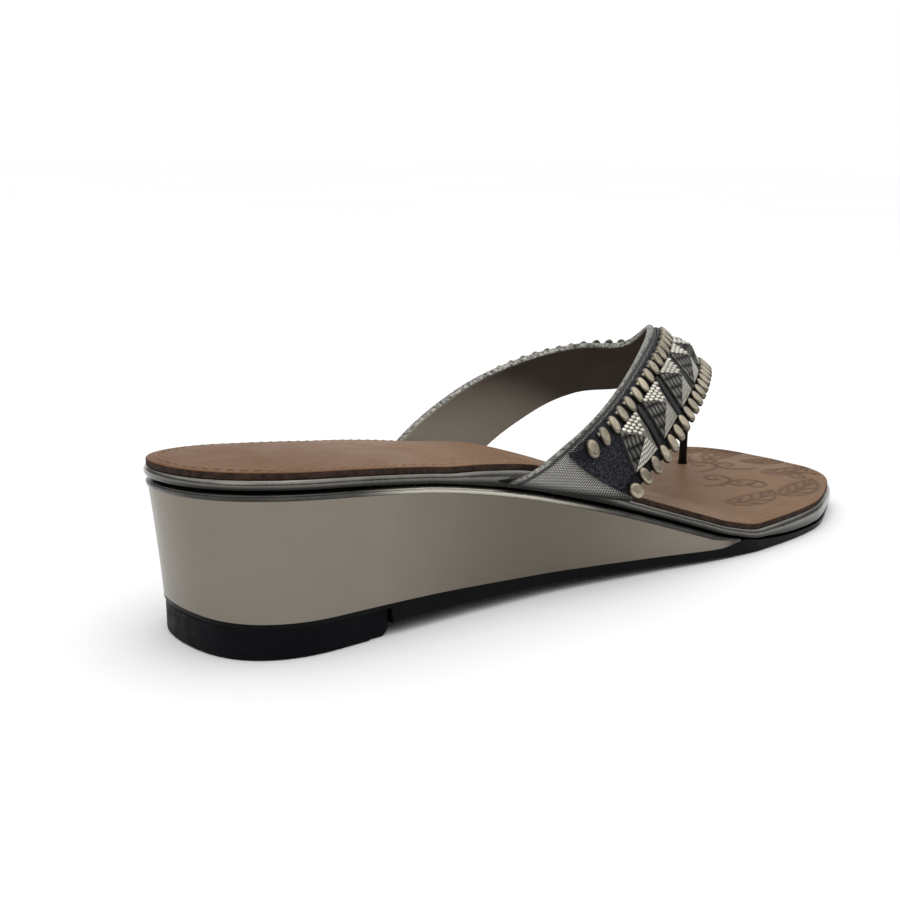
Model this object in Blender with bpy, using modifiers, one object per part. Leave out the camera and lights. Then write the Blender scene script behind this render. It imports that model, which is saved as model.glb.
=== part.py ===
"""Women's wedge thong sandal, right shoe, standing empty on its heel and forefoot.

The tables and sizes below are in millimetres, with x measured from the back of the heel towards the toe
and y positive on the big-toe side. The model is in metres, toe along +X, +Z up, with its origin on the
floor under the middle of its box.
"""
import math

import bmesh
import bpy
import numpy as np
from mathutils import Matrix, Vector

MM = 0.001
GAP = 0.3

# Plan of the sole: rounded heel, square toe with a rounded corner on each side. The upper layers are
# tucked in a little at the heel's back.
LENGTH = 246.0
HEEL_TUCK = 0.6
MIDDLE = (LENGTH + HEEL_TUCK) / 2
HEEL_ROUND = 32.0
HEEL_POWER = 2.2
TOE_AXIS = 5.0
TOE_ROUND_OUTER = 92.0
TOE_POWER_OUTER = 3.6
TOE_ROUND_INNER = 32.0
TOE_POWER_INNER = 2.9
STATIONS = 34

# Layers of the sole.
INSOLE_EDGE = 1.4
INSOLE_INSET = 1.1
INSOLE_BEVEL = 0.4
INSOLE_CROWN = 1.3
HEEL_TILT = 1.4
TILT_HALF_WIDTH = 28.0
TILT_FADE_START = 60.0
TILT_FADE_END = 100.0
BOARD_SECTION = ((1.0, 0.0), (0.15, 0.25), (0.0, 0.55), (0.35, 0.85), (1.2, 1.0))
WEDGE_TIP = 165.5
WEDGE_INSET = 0.9
WEDGE_HEEL_SLOPE = 5.6
LIP_HEIGHT = 1.4
LIP_INSET = 0.35
SHEET_OVER_LIFT = 1.4
SHEET_INSET = 0.0
SHEET_BEVEL = 0.6
FOREFOOT_INSET = 0.5
FOREFOOT_INSET_FROM = 90.0
FOREFOOT_INSET_TO = 140.0
BALL_FLAT = (174.0, 207.0)
LIFT_INSET = 0.7
LIFT_HEEL_SLOPE = 5.0
LIFT_BEVEL = 0.7
LIFT_BLOCK_END = 40.5
LIFT_END = 46.2
LIFT_STEP = 0.5
LIFT_NOSE = 1.6
LIFT_NOSE_FROM = 44.4

# Strap and what is fixed to it. t runs from the outer foot (-1) over the apex (0) to the inner foot (1),
# w from the back edge (0) to the front edge (1).
STRAP_WALL = 2.2
OVERLAY_WALL = 0.7
OVERLAY_BACK = 0.10
OVERLAY_FRONT = 0.985
SLANT_START = 0.83
SLANT = 0.155
LEAN = 0.265
LEAN_FROM_T = 0.3
STUD_HALF_WIDTH = 2.7
STUD_HEIGHT = 1.3
STUD_BASE = 0.5
BACK_ROW_W = 0.24
BACK_ROW_PITCH = 5.9
FRONT_ROW_W = 0.965
FRONT_ROW_PITCH = 5.3
BACK_ROW_MARGIN = 0.023
FRONT_ROW_MARGIN = 0.005
PYRAMID_PITCH_T = 0.152
PYRAMIDS_A_LEG = 5
PYRAMID_HALF_T = 0.053
PYRAMID_W = (0.345, 0.84)
PYRAMID_SEAT = 0.3
PYRAMID_RIM = 0.6
PYRAMID_HEIGHT = 2.8

# Toe post.
POST_RADIUS = 1.5
POST_FOOT = (214.0, 20.0)
POST_FOOT_GAP = 0.9
POST_TOP_T = 0.03
POST_TOP_W = 0.90
POST_TOP_GAP = 1.3

# One row a cross-section of the sole: half widths before the ends are rounded, height of the insole's edge,
# thickness of the board, and how far both rise over the outer foot of the strap, which is tucked in below.
SOLE_COLUMNS = ("x", "outer", "inner", "top", "board", "tuck")
SOLE = (
    (0.0, 27.0, 26.5, 46.0, 2.9, 0.0),
    (30.0, 27.5, 26.5, 43.4, 2.9, 0.0),
    (62.0, 28.5, 27.5, 39.6, 2.9, 0.0),
    (78.0, 29.4, 27.9, 37.0, 2.9, 1.5),
    (95.0, 30.8, 28.5, 33.4, 2.9, 2.9),
    (110.0, 33.4, 30.2, 29.2, 2.9, 2.6),
    (125.0, 36.5, 33.0, 24.4, 2.9, 0.2),
    (135.0, 38.6, 35.2, 20.9, 2.9, 0.0),
    (150.0, 42.0, 39.0, 15.5, 2.9, 0.0),
    (162.0, 44.0, 41.5, 11.4, 2.9, 0.0),
    (175.0, 45.2, 43.5, 8.9, 3.2, 0.0),
    (190.0, 45.1, 45.0, 9.0, 4.6, 0.0),
    (207.0, 44.3, 45.2, 9.1, 5.1, 0.0),
    (228.0, 39.9, 44.6, 9.4, 4.7, 0.0),
    (246.0, 37.5, 44.2, 9.6, 4.3, 0.0),
)
TUCK_FULL_Y = -2.0
TUCK_GONE_Y = 22.0

# Underside: top and bottom of the rubber sheet from the heel's breast on.
UNDER_COLUMNS = ("x", "sheet_top", "sheet_bottom")
UNDER = (
    (0.0, 9.6, 3.2),
    (54.0, 8.4, 3.2),
    (95.0, 6.4, 2.6),
    (125.0, 5.1, 1.9),
    (150.0, 4.0, 1.0),
    (158.0, 3.7, 0.6),
    (167.0, 4.9, 0.3),
    (174.0, 3.8, 0.0),
    (190.0, 2.3, 0.0),
    (207.0, 1.9, 0.0),
    (228.0, 2.6, 1.4),
    (246.0, 3.2, 2.2),
)

# One row a section across the strap: its back edge, its front edge and its bow between them.
STRAP_COLUMNS = ("t", "back_x", "back_y", "back_z", "front_x", "front_y", "front_z", "bow")
STRAP = (
    (-1.0, 81.0, -32.2, 33.6, 121.5, -39.3, 23.8, -1.0),
    (-0.9, 92.6, -32.4, 36.8, 126.4, -38.6, 29.0, 0.0),
    (-0.8, 104.6, -31.4, 42.0, 135.0, -37.6, 33.0, 0.6),
    (-0.6, 126.0, -24.7, 49.1, 154.0, -30.6, 41.0, 0.8),
    (-0.4, 147.5, -14.5, 56.5, 173.2, -20.0, 46.2, 1.0),
    (-0.2, 167.2, -3.3, 62.2, 191.8, -5.7, 48.0, -0.6),
    (0.0, 180.3, 8.7, 63.3, 206.0, 8.6, 46.0, -1.0),
    (0.2, 177.2, 17.3, 56.9, 204.3, 21.2, 42.0, 0.8),
    (0.4, 160.8, 23.6, 56.9, 189.7, 29.5, 39.2, 1.2),
    (0.6, 138.0, 27.7, 53.2, 171.0, 33.8, 38.9, 1.2),
    (0.8, 114.5, 30.1, 45.3, 152.0, 36.1, 33.6, 0.6),
    (0.9, 101.5, 31.6, 37.8, 138.0, 36.4, 27.7, 0.0),
    (1.0, 88.4, 31.4, 28.6, 123.5, 35.2, 19.8, 0.0),
)


def column(table, names, name):
    """One named column of a table."""
    return np.array([row[names.index(name)] for row in table], float)


def hermite(keys, values, slopes, at):
    """Cubic curve through (keys, values) with the given slopes."""
    i = int(np.clip(np.searchsorted(keys, at) - 1, 0, len(keys) - 2))
    span = keys[i + 1] - keys[i]
    s = min(max((at - keys[i]) / span, 0.0), 1.0)
    a = (2 * s ** 3 - 3 * s ** 2 + 1) * values[i] + (s ** 3 - 2 * s ** 2 + s) * span * slopes[i]
    b = (3 * s ** 2 - 2 * s ** 3) * values[i + 1] + (s ** 3 - s ** 2) * span * slopes[i + 1]
    return a + b


def steady_slopes(keys, values):
    """Slopes that never overshoot, so that a level stretch stays level."""
    step = np.diff(values) / np.diff(keys)
    slopes = np.zeros(len(keys))
    slopes[0], slopes[-1] = step[0], step[-1]
    for i in range(1, len(keys) - 1):
        if step[i - 1] * step[i] > 0:
            slopes[i] = 2 * step[i - 1] * step[i] / (step[i - 1] + step[i])
    return slopes


def free_slopes(keys, values):
    """Slopes of a parabola through each row and its neighbours."""
    step = np.diff(values) / np.diff(keys)
    span = np.diff(keys)
    slopes = np.zeros(len(keys))
    slopes[0], slopes[-1] = step[0], step[-1]
    for i in range(1, len(keys) - 1):
        slopes[i] = (step[i - 1] * span[i] + step[i] * span[i - 1]) / (span[i - 1] + span[i])
    return slopes


def profile(table, names, name, make_slopes):
    """A column as a function of the table's first column."""
    keys = column(table, names, names[0])
    values = column(table, names, name)
    slopes = make_slopes(keys, values)
    return lambda at: hermite(keys, values, slopes, at)


outer_width = profile(SOLE, SOLE_COLUMNS, "outer", steady_slopes)
inner_width = profile(SOLE, SOLE_COLUMNS, "inner", steady_slopes)
edge_top = profile(SOLE, SOLE_COLUMNS, "top", steady_slopes)
board_edge = profile(SOLE, SOLE_COLUMNS, "board", steady_slopes)
tuck_edge = profile(SOLE, SOLE_COLUMNS, "tuck", steady_slopes)
sheet_top = profile(UNDER, UNDER_COLUMNS, "sheet_top", steady_slopes)
sheet_bottom = profile(UNDER, UNDER_COLUMNS, "sheet_bottom", steady_slopes)
strap_edges = [profile(STRAP, STRAP_COLUMNS, name, free_slopes) for name in STRAP_COLUMNS[1:]]


def rounded(distance, length, power):
    """Share of the full width at a distance from a rounded end."""
    s = min(max(1.0 - distance / length, 0.0), 1.0)
    return (1.0 - s ** power) ** (1.0 / power)


def outer_y(x):
    heel = rounded(x, HEEL_ROUND, HEEL_POWER)
    toe = rounded(LENGTH - x, TOE_ROUND_OUTER, TOE_POWER_OUTER)
    return (TOE_AXIS - (TOE_AXIS + outer_width(x)) * toe) * heel


def inner_y(x):
    heel = rounded(x, HEEL_ROUND, HEEL_POWER)
    toe = rounded(LENGTH - x, TOE_ROUND_INNER, TOE_POWER_INNER)
    return (TOE_AXIS + (inner_width(x) - TOE_AXIS) * toe) * heel


def tuck_rise(x, y):
    """Rise of insole and board over the strap's tucked outer foot, gone at the inner side."""
    share = min(max((TUCK_GONE_Y - y) / (TUCK_GONE_Y - TUCK_FULL_Y), 0.0), 1.0)
    return tuck_edge(x) * share * share * (3 - 2 * share)


def insole_edge_z(x, y):
    """Top of the insole's edge, tilted a little towards the inner side at the heel."""
    fade = min(max((TILT_FADE_END - x) / (TILT_FADE_END - TILT_FADE_START), 0.0), 1.0)
    return edge_top(x) - HEEL_TILT * fade * y / TILT_HALF_WIDTH + tuck_rise(x, y)


def board_top_z(x, y):
    return insole_edge_z(x, y) - INSOLE_EDGE - GAP


def board_bottom_z(x, y):
    return board_top_z(x, y) - board_edge(x) - tuck_rise(x, y)


def wedge_top_z(x, y):
    return board_bottom_z(x, y) - GAP


def wedge_bottom_z(x, y):
    return sheet_top(x) + GAP


def outline(end, breaks=()):
    """The plan's two sides from the heel's back to x = end, with their outward directions."""
    xs = [LENGTH / 2 * (1 - math.cos(math.pi * k / STATIONS)) for k in range(STATIONS + 1)]
    xs = sorted([x for x in xs if x < end - 1.0 and min([abs(x - b) for b in breaks] + [9.0]) > 0.8]
                + [end] + list(breaks))
    sides = []
    for side, sign in ((outer_y, 1.0), (inner_y, -1.0)):
        points = [Vector((x, side(x), 0.0)) for x in xs]
        rows = []
        for k, p in enumerate(points):
            along = points[min(k + 1, len(points) - 1)] - points[max(k - 1, 0)]
            out = Vector((along.y, -along.x, 0.0)).normalized() * sign
            if k == 0:
                out = Vector((-1.0, 0.0, 0.0))
            if k == len(points) - 1 and end == LENGTH:
                out = Vector((1.0, 0.0, 0.0))
            rows.append((p, out))
        sides.append(rows)
    return sides


def metres(p):
    return Vector(((p[0] - MIDDLE) * MM, p[1] * MM, p[2] * MM))


def finish_object(name, mesh, material, smooth_angle=40.0):
    """Link a mesh as a named part with its own material, faces pointing out."""
    bm = bmesh.new()
    bm.from_mesh(mesh)
    bmesh.ops.recalc_face_normals(bm, faces=bm.faces)
    bm.to_mesh(mesh)
    bm.free()
    mesh.shade_smooth()
    mesh.set_sharp_from_angle(angle=math.radians(smooth_angle))
    mesh.materials.append(material)
    obj = bpy.data.objects.new(name, mesh)
    parts.objects.link(obj)
    obj.parent = root
    return obj


def stacked(name, end, rings, columns, material, breaks=(), crown=None):
    """A layer of the sole: rings of the outline at given insets and heights, closed above and below.

    Each ring is (inset, height): inset(x, out) in from the plan's edge and height(x, y).
    """
    outer, inner = outline(end, breaks)
    to_the_toe = end == LENGTH
    last = len(outer) - 1
    bm = bmesh.new()
    loops = []
    for inset, height in rings:
        sides = []
        for rows in (outer, inner):
            moved = [p - out * inset(p.x, out) for p, out in rows]
            sides.append([Vector((q.x, q.y, height(q.x, q.y))) for q in moved])
        vert_o = [bm.verts.new(metres(q)) for q in sides[0]]
        vert_i = [vert_o[0]] + [bm.verts.new(metres(q)) for q in sides[1][1:last]]
        vert_i.append(vert_o[last] if to_the_toe else bm.verts.new(metres(sides[1][last])))
        loops.append((sides, vert_o, vert_i, height))
    for (_, low_o, low_i, _), (_, high_o, high_i, _) in zip(loops, loops[1:]):
        for k in range(last):
            bm.faces.new((low_o[k], low_o[k + 1], high_o[k + 1], high_o[k]))
            bm.faces.new((low_i[k + 1], low_i[k], high_i[k], high_i[k + 1]))
    front = []
    for index in (0, -1):
        sides, vert_o, vert_i, height = loops[index]
        rows = []
        for k in range(last + 1):
            if vert_o[k] is vert_i[k]:
                rows.append([vert_o[k]])
                continue
            a, b = sides[0][k], sides[1][k]
            row = [vert_o[k]]
            for c in range(1, columns):
                s = c / columns
                q = a.lerp(b, s)
                rise = crown(q.x, (b - a).length) * (1 - (2 * s - 1) ** 2) if crown and index == -1 else 0.0
                row.append(bm.verts.new(metres((q.x, q.y, height(q.x, q.y) + rise))))
            row.append(vert_i[k])
            rows.append(row)
        for near, far in zip(rows, rows[1:]):
            for c in range(columns):
                corners = [near[min(c, len(near) - 1)], near[min(c + 1, len(near) - 1)],
                           far[min(c + 1, len(far) - 1)], far[min(c, len(far) - 1)]]
                corners = [v for n, v in enumerate(corners) if v not in corners[:n]]
                bm.faces.new(corners)
        front.append(rows[-1])
    if not to_the_toe:
        middle_i = [loop[2][last] for loop in loops[1:-1]]
        middle_o = [loop[1][last] for loop in loops[1:-1]]
        bm.faces.new(front[0] + middle_i + front[1][::-1] + middle_o[::-1])
    mesh = bpy.data.meshes.new(name)
    bm.to_mesh(mesh)
    bm.free()
    return finish_object(name, mesh, material)


def strap_mid(t, w):
    row = [edge(t) for edge in strap_edges]
    return Vector(row[0:3]).lerp(Vector(row[3:6]), w), row[6]


def strap_out(t, w):
    """Outward direction of the strap's surface."""
    step = 0.02
    along = strap_mid(min(t + step, 1.0), w)[0] - strap_mid(max(t - step, -1.0), w)[0]
    across = strap_mid(t, 1.0)[0] - strap_mid(t, 0.0)[0]
    return across.cross(along).normalized()


def strap_point(t, w, lift=0.0):
    """A point on the strap's outer surface, lifted off it by a distance."""
    p, bow = strap_mid(t, w)
    return p + strap_out(t, w) * (bow * 4 * w * (1 - w) + lift)


def strap_sheet(name, ts, ws, start, lift, wall, material):
    """An open sheet on the strap's function, given a wall by Solidify."""
    bm = bmesh.new()
    grid = [[bm.verts.new(metres(strap_point(start(t, w), w, lift))) for w in ws] for t in ts]
    for row, after in zip(grid, grid[1:]):
        for c in range(len(ws) - 1):
            bm.faces.new((row[c], row[c + 1], after[c + 1], after[c]))
    mesh = bpy.data.meshes.new(name)
    bm.to_mesh(mesh)
    bm.free()
    mesh.shade_smooth()
    mesh.materials.append(material)
    obj = bpy.data.objects.new(name, mesh)
    parts.objects.link(obj)
    obj.parent = root
    shell = obj.modifiers.new("wall", "SOLIDIFY")
    shell.thickness = wall * MM
    shell.offset = -1.0 if lift == 0.0 else 1.0
    shell.use_even_offset = True
    return obj


def lean(t):
    """Lean of a line across the strap towards the nearer foot, in t for each w; upright at the apex."""
    return math.copysign(LEAN * min(abs(t) / LEAN_FROM_T, 1.0), t)


def row_positions(w, start, pitch):
    """Even steps of about one pitch along the strap at w, between the two slanted ends."""
    ts = np.linspace(-start, start, 601)
    points = np.array([strap_point(t, w) for t in ts])
    length = np.concatenate([[0.0], np.cumsum(np.linalg.norm(np.diff(points, axis=0), axis=1))])
    count = int(round(length[-1] / pitch))
    return count, lambda s: float(np.interp(s * length[-1], length, ts))


def stud_row(name, w, pitch, margin, material):
    """A row of long nailheads side by side on one strip: its top swells to a leaning ridge at each stud."""
    count, t_at = row_positions(w, SLANT_START + SLANT * w - margin, pitch)
    samples = 4
    half_w = STUD_HALF_WIDTH / (strap_mid(0.4, 1.0)[0] - strap_mid(0.4, 0.0)[0]).length
    low = OVERLAY_WALL + 2 * GAP
    bm = bmesh.new()
    rows = []
    for k in range(count * samples + 1):
        t = t_at(k / (count * samples))
        ridge = low + STUD_BASE + STUD_HEIGHT * math.sin(math.pi * (k % samples) / samples)
        row = []
        for side, lift in ((-1, low), (-0.85, low + STUD_BASE), (-0.4, ridge), (0.4, ridge),
                           (0.85, low + STUD_BASE), (1, low)):
            across = half_w * side
            row.append(bm.verts.new(metres(strap_point(t + lean(t) * across, w + across, lift))))
        rows.append(row)
    for row, after in zip(rows, rows[1:]):
        for c in range(6):
            d = (c + 1) % 6
            bm.faces.new((row[c], row[d], after[d], after[c]))
    bm.faces.new(rows[0])
    bm.faces.new(rows[-1])
    mesh = bpy.data.meshes.new(name)
    bm.to_mesh(mesh)
    bm.free()
    return finish_object(name, mesh, material, 30.0)


def pyramid(name, t, material):
    """A four-sided pyramid whose foot follows the strap under it."""
    w0, w1 = PYRAMID_W
    skew = lean(t) * (w1 - w0)
    around = ((-1, 0), (0, 0), (1, 0), (1, 0.5), (1, 1), (0, 1), (-1, 1), (-1, 0.5))
    low = OVERLAY_WALL + 2 * GAP + PYRAMID_SEAT
    bm = bmesh.new()

    def at(side, across, lift):
        return bm.verts.new(metres(strap_point(t + skew * (across - 0.5) + side * PYRAMID_HALF_T,
                                               w0 + (w1 - w0) * across, lift)))

    foot = [at(side, across, low) for side, across in around]
    rim = [at(side, across, low + PYRAMID_RIM) for side, across in around]
    under = at(0, 0.5, low)
    tip = at(0, 0.5, low + PYRAMID_RIM + PYRAMID_HEIGHT)
    for k in range(8):
        n = (k + 1) % 8
        bm.faces.new((foot[k], foot[n], rim[n], rim[k]))
        bm.faces.new((rim[k], rim[n], tip))
        bm.faces.new((foot[n], foot[k], under))
    mesh = bpy.data.meshes.new(name)
    bm.to_mesh(mesh)
    bm.free()
    return finish_object(name, mesh, material, 20.0)


def rod(name, low, high, radius, segments):
    """A round bar between two points, from a cone primitive with equal ends."""
    axis = high - low
    bm = bmesh.new()
    place = Matrix.Translation((low + high) / 2) @ axis.to_track_quat("Z", "Y").to_matrix().to_4x4()
    bmesh.ops.create_cone(bm, cap_ends=True, segments=segments, radius1=radius, radius2=radius,
                          depth=axis.length, matrix=place)
    mesh = bpy.data.meshes.new(name)
    bm.to_mesh(mesh)
    bm.free()
    return mesh


def surface(name, colour, roughness, metallic=0.0):
    made = bpy.data.materials.new(name)
    made.use_nodes = True
    shader = made.node_tree.nodes["Principled BSDF"]
    shader.inputs["Base Color"].default_value = (*colour, 1.0)
    shader.inputs["Roughness"].default_value = roughness
    shader.inputs["Metallic"].default_value = metallic
    return made


for old in list(bpy.data.objects):
    bpy.data.objects.remove(old, do_unlink=True)
parts = bpy.data.collections.new("wedge_thong_sandal")
cutters = bpy.data.collections.new("cutters")
bpy.context.scene.collection.children.link(parts)
bpy.context.scene.collection.children.link(cutters)
root = bpy.data.objects.new("sandal", None)
parts.objects.link(root)

black_rubber = surface("black_rubber", (0.012, 0.012, 0.014), 0.55)
lift_rubber = surface("lift_rubber", (0.028, 0.028, 0.034), 0.6)
wedge_sheet = surface("pewter_sheet", (0.27, 0.25, 0.22), 0.32, 0.8)
board_sheet = surface("dark_pewter_sheet", (0.2, 0.19, 0.17), 0.25, 0.9)
sock_leather = surface("brown_sock", (0.26, 0.14, 0.1), 0.35)
strap_cloth = surface("pewter_weave", (0.3, 0.29, 0.26), 0.45, 0.6)
overlay_cloth = surface("dark_panel", (0.014, 0.015, 0.022), 0.5)
post_cord = surface("dark_cord", (0.02, 0.018, 0.016), 0.6)
stud_metal = surface("antique_stud", (0.46, 0.42, 0.35), 0.35, 1.0)
pyramid_metal = surface("pyramid_metal", (0.5, 0.48, 0.42), 0.3, 1.0)


# Heel lift: a block that follows the heel, its front stepped in and its lower front corner turned up.
def heel_slope(out, depth=WEDGE_HEEL_SLOPE):
    return depth * max(-out.x, 0.0) ** 2


def lift_inset(more):
    def inset(x, out):
        step = LIFT_STEP if x > LIFT_BLOCK_END + 0.1 else 0.0
        return heel_slope(out, LIFT_HEEL_SLOPE) + LIFT_INSET + step + more
    return inset


def lift_floor(x, y):
    return LIFT_NOSE * max((x - LIFT_NOSE_FROM) / (LIFT_END - LIFT_NOSE_FROM), 0.0) ** 2


def lift_ceiling(x, y):
    return sheet_top(x) - SHEET_OVER_LIFT - GAP


stacked("heel_lift", LIFT_END,
        ((lift_inset(LIFT_BEVEL), lift_floor),
         (lift_inset(0.0), lambda x, y: lift_floor(x, y) + LIFT_BEVEL),
         (lift_inset(0.0), lift_ceiling)),
        4, lift_rubber,
        breaks=(LIFT_BLOCK_END, LIFT_BLOCK_END + GAP, LIFT_NOSE_FROM, LIFT_NOSE_FROM + 1.0))


# Outsole: thin over the lift, thicker ahead of it, level under the ball, with a turned-up toe.
def forefoot_inset(x):
    share = (x - FOREFOOT_INSET_FROM) / (FOREFOOT_INSET_TO - FOREFOOT_INSET_FROM)
    return FOREFOOT_INSET * min(max(share, 0.0), 1.0)


def sheet_inset(more):
    return lambda x, out: heel_slope(out) + SHEET_INSET + forefoot_inset(x) + more


def sheet_floor(x, y):
    return sheet_top(x) - SHEET_OVER_LIFT if x < LIFT_END + 2 * GAP else sheet_bottom(x)


stacked("outsole", LENGTH,
        ((sheet_inset(SHEET_BEVEL), sheet_floor),
         (sheet_inset(0.0), lambda x, y: sheet_floor(x, y) + SHEET_BEVEL),
         (sheet_inset(0.0), lambda x, y: sheet_top(x))),
        4, black_rubber, breaks=(LIFT_END + GAP, LIFT_END + 3 * GAP, *BALL_FLAT))


# Wedge: upright sides, back sloping in to the heel, a rolled lip along its top edge.
def wedge_wall(share):
    def inset(x, out):
        top = WEDGE_INSET + heel_slope(out, HEEL_TUCK)
        return top * share + (heel_slope(out) + forefoot_inset(x)) * (1 - share)
    return inset


def wedge_height(share):
    return lambda x, y: wedge_bottom_z(x, y) + share * (wedge_top_z(x, y) - wedge_bottom_z(x, y))


def lip_inset(inset):
    return lambda x, out: inset + heel_slope(out, HEEL_TUCK)


def lip_height(share):
    def height(x, y):
        lip = min(LIP_HEIGHT, 0.3 * (wedge_top_z(x, y) - wedge_bottom_z(x, y)))
        return wedge_top_z(x, y) - lip * share
    return height


stacked("wedge", WEDGE_TIP,
        ((wedge_wall(0.0), wedge_height(0.0)),
         (wedge_wall(0.4), wedge_height(0.4)),
         (wedge_wall(1.0), lip_height(1.15)),
         (lip_inset(LIP_INSET), lip_height(0.8)),
         (lip_inset(LIP_INSET), lip_height(0.3)),
         (lip_inset(WEDGE_INSET), lip_height(0.0))),
        4, wedge_sheet)


# Footbed board with its rounded wrapped edge: each step of its section is an inset and a share of height.
def board_ring(inset, share):
    return lip_inset(inset), lambda x, y: board_bottom_z(x, y) + (board_edge(x) + tuck_rise(x, y)) * share


stacked("footbed_board", LENGTH, [board_ring(*step) for step in BOARD_SECTION], 6, board_sheet)


# Insole: a sheet set in from the board's edge, crowned, with a round slot for the toe post.
def insole_crown(x, width):
    return INSOLE_CROWN * min(width / (2 * TILT_HALF_WIDTH), 1.0)


insole = stacked("insole", LENGTH,
                 ((lambda x, out: INSOLE_INSET, lambda x, y: insole_edge_z(x, y) - INSOLE_EDGE),
                  (lambda x, out: INSOLE_INSET, lambda x, y: insole_edge_z(x, y) - INSOLE_BEVEL),
                  (lambda x, out: INSOLE_INSET + INSOLE_BEVEL, insole_edge_z)),
                 6, sock_leather, crown=insole_crown)

# Strap, both legs in one, and the dark panel on it with slanted ends.
strap_sheet("strap", np.linspace(-1.0, 1.0, 47), np.linspace(0.0, 1.0, 7),
            lambda t, w: t, 0.0, STRAP_WALL, strap_cloth)
strap_sheet("strap_overlay", np.linspace(-1.0, 1.0, 45), np.linspace(OVERLAY_BACK, OVERLAY_FRONT, 6),
            lambda s, w: s * (SLANT_START + SLANT * w), GAP, OVERLAY_WALL, overlay_cloth)

# Metal trim on the panel.
stud_row("stud_row_back", BACK_ROW_W, BACK_ROW_PITCH, BACK_ROW_MARGIN, stud_metal)
stud_row("stud_row_front", FRONT_ROW_W, FRONT_ROW_PITCH, FRONT_ROW_MARGIN, stud_metal)
for index in range(-PYRAMIDS_A_LEG, PYRAMIDS_A_LEG + 1):
    pyramid("pyramid_%02d" % (index + PYRAMIDS_A_LEG + 1), index * PYRAMID_PITCH_T, pyramid_metal)

# Toe post from the board, through the insole's slot, to just under the strap's front edge.
post_foot = metres((*POST_FOOT, board_top_z(*POST_FOOT) + POST_FOOT_GAP))
post_head = metres(strap_point(POST_TOP_T, POST_TOP_W, -STRAP_WALL - POST_TOP_GAP))
finish_object("toe_post", rod("toe_post", post_foot, post_head, POST_RADIUS * MM, 16), post_cord)
post_axis = (post_head - post_foot).normalized()
slot_mesh = rod("post_slot", post_foot - post_axis * 6 * MM, post_foot + post_axis * 12 * MM,
                (POST_RADIUS + GAP) * MM, 16)
slot = bpy.data.objects.new("post_slot", slot_mesh)
cutters.objects.link(slot)
slot.hide_render = True
slot.display_type = "WIRE"
cut = insole.modifiers.new("slot", "BOOLEAN")
cut.operation = "DIFFERENCE"
cut.solver = "EXACT"
cut.object = slot
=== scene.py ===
import math

import bmesh
import bpy
import numpy as np
from mathutils import Matrix, Vector


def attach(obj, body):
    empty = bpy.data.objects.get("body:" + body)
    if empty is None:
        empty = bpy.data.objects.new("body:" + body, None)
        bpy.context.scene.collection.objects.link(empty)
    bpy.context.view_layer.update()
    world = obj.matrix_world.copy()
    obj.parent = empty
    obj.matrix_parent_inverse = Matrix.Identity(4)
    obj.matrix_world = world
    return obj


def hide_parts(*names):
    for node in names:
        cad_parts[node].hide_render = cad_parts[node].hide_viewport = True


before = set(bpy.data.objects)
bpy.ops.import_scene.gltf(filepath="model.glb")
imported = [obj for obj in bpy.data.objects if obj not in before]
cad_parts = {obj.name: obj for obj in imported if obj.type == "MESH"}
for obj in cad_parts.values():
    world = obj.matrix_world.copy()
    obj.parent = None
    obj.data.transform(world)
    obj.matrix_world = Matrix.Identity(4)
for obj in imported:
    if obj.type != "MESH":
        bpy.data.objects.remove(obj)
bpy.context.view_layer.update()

# Heel lift: a block of dark moulded rubber glued under the heel of the wedge. Its front is stepped in to a
# short nose with a turned-up lower corner. Sizes are in millimetres, x from the back of the heel, y positive
# towards the big toe's side, as in the part's own tables.
MM = 0.001
GAP = 0.3
LENGTH = 246.0
HEEL_TUCK = 0.6
MIDDLE = (LENGTH + HEEL_TUCK) / 2
HEEL_ROUND = 32.0
HEEL_POWER = 2.2
TOE_AXIS = 5.0
TOE_ROUND_OUTER = 92.0
TOE_POWER_OUTER = 3.6
TOE_ROUND_INNER = 32.0
TOE_POWER_INNER = 2.9
LAST_STEP = 0.5
HEEL_SLOPE = 5.6
SHEET_OVER_LIFT = 1.4
LIFT_INSET = 0.7
LIFT_HEEL_SLOPE = 5.0
LIFT_BEVEL = 0.7
LIFT_BLOCK_END = 40.5
LIFT_END = 46.2
LIFT_STEP = 0.5
LIFT_NOSE = 1.6
LIFT_NOSE_FROM = 44.4
LIFT_NOSE_BREAKS = (44.8, 45.2, 45.6, 45.9)
# x, outer half width, inner half width, height of the insole's edge, thickness of the board, and the rise of
# both over the strap's outer foot, which is tucked in below them
SOLE_ROWS = (
    (0.0, 27.0, 26.5, 46.0, 2.9, 0.0),
    (30.0, 27.5, 26.5, 43.4, 2.9, 0.0),
    (62.0, 28.5, 27.5, 39.6, 2.9, 0.0),
    (78.0, 29.4, 27.9, 37.0, 2.9, 1.5),
    (95.0, 30.8, 28.5, 33.4, 2.9, 2.9),
    (110.0, 33.4, 30.2, 29.2, 2.9, 2.6),
    (125.0, 36.5, 33.0, 24.4, 2.9, 0.2),
    (135.0, 38.6, 35.2, 20.9, 2.9, 0.0),
    (150.0, 42.0, 39.0, 15.5, 2.9, 0.0),
    (162.0, 44.0, 41.5, 11.4, 2.9, 0.0),
    (175.0, 45.2, 43.5, 8.9, 3.2, 0.0),
    (190.0, 45.1, 45.0, 9.0, 4.6, 0.0),
    (207.0, 44.3, 45.2, 9.1, 5.1, 0.0),
    (228.0, 39.9, 44.6, 9.4, 4.7, 0.0),
    (246.0, 37.5, 44.2, 9.6, 4.3, 0.0),
)
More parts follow.
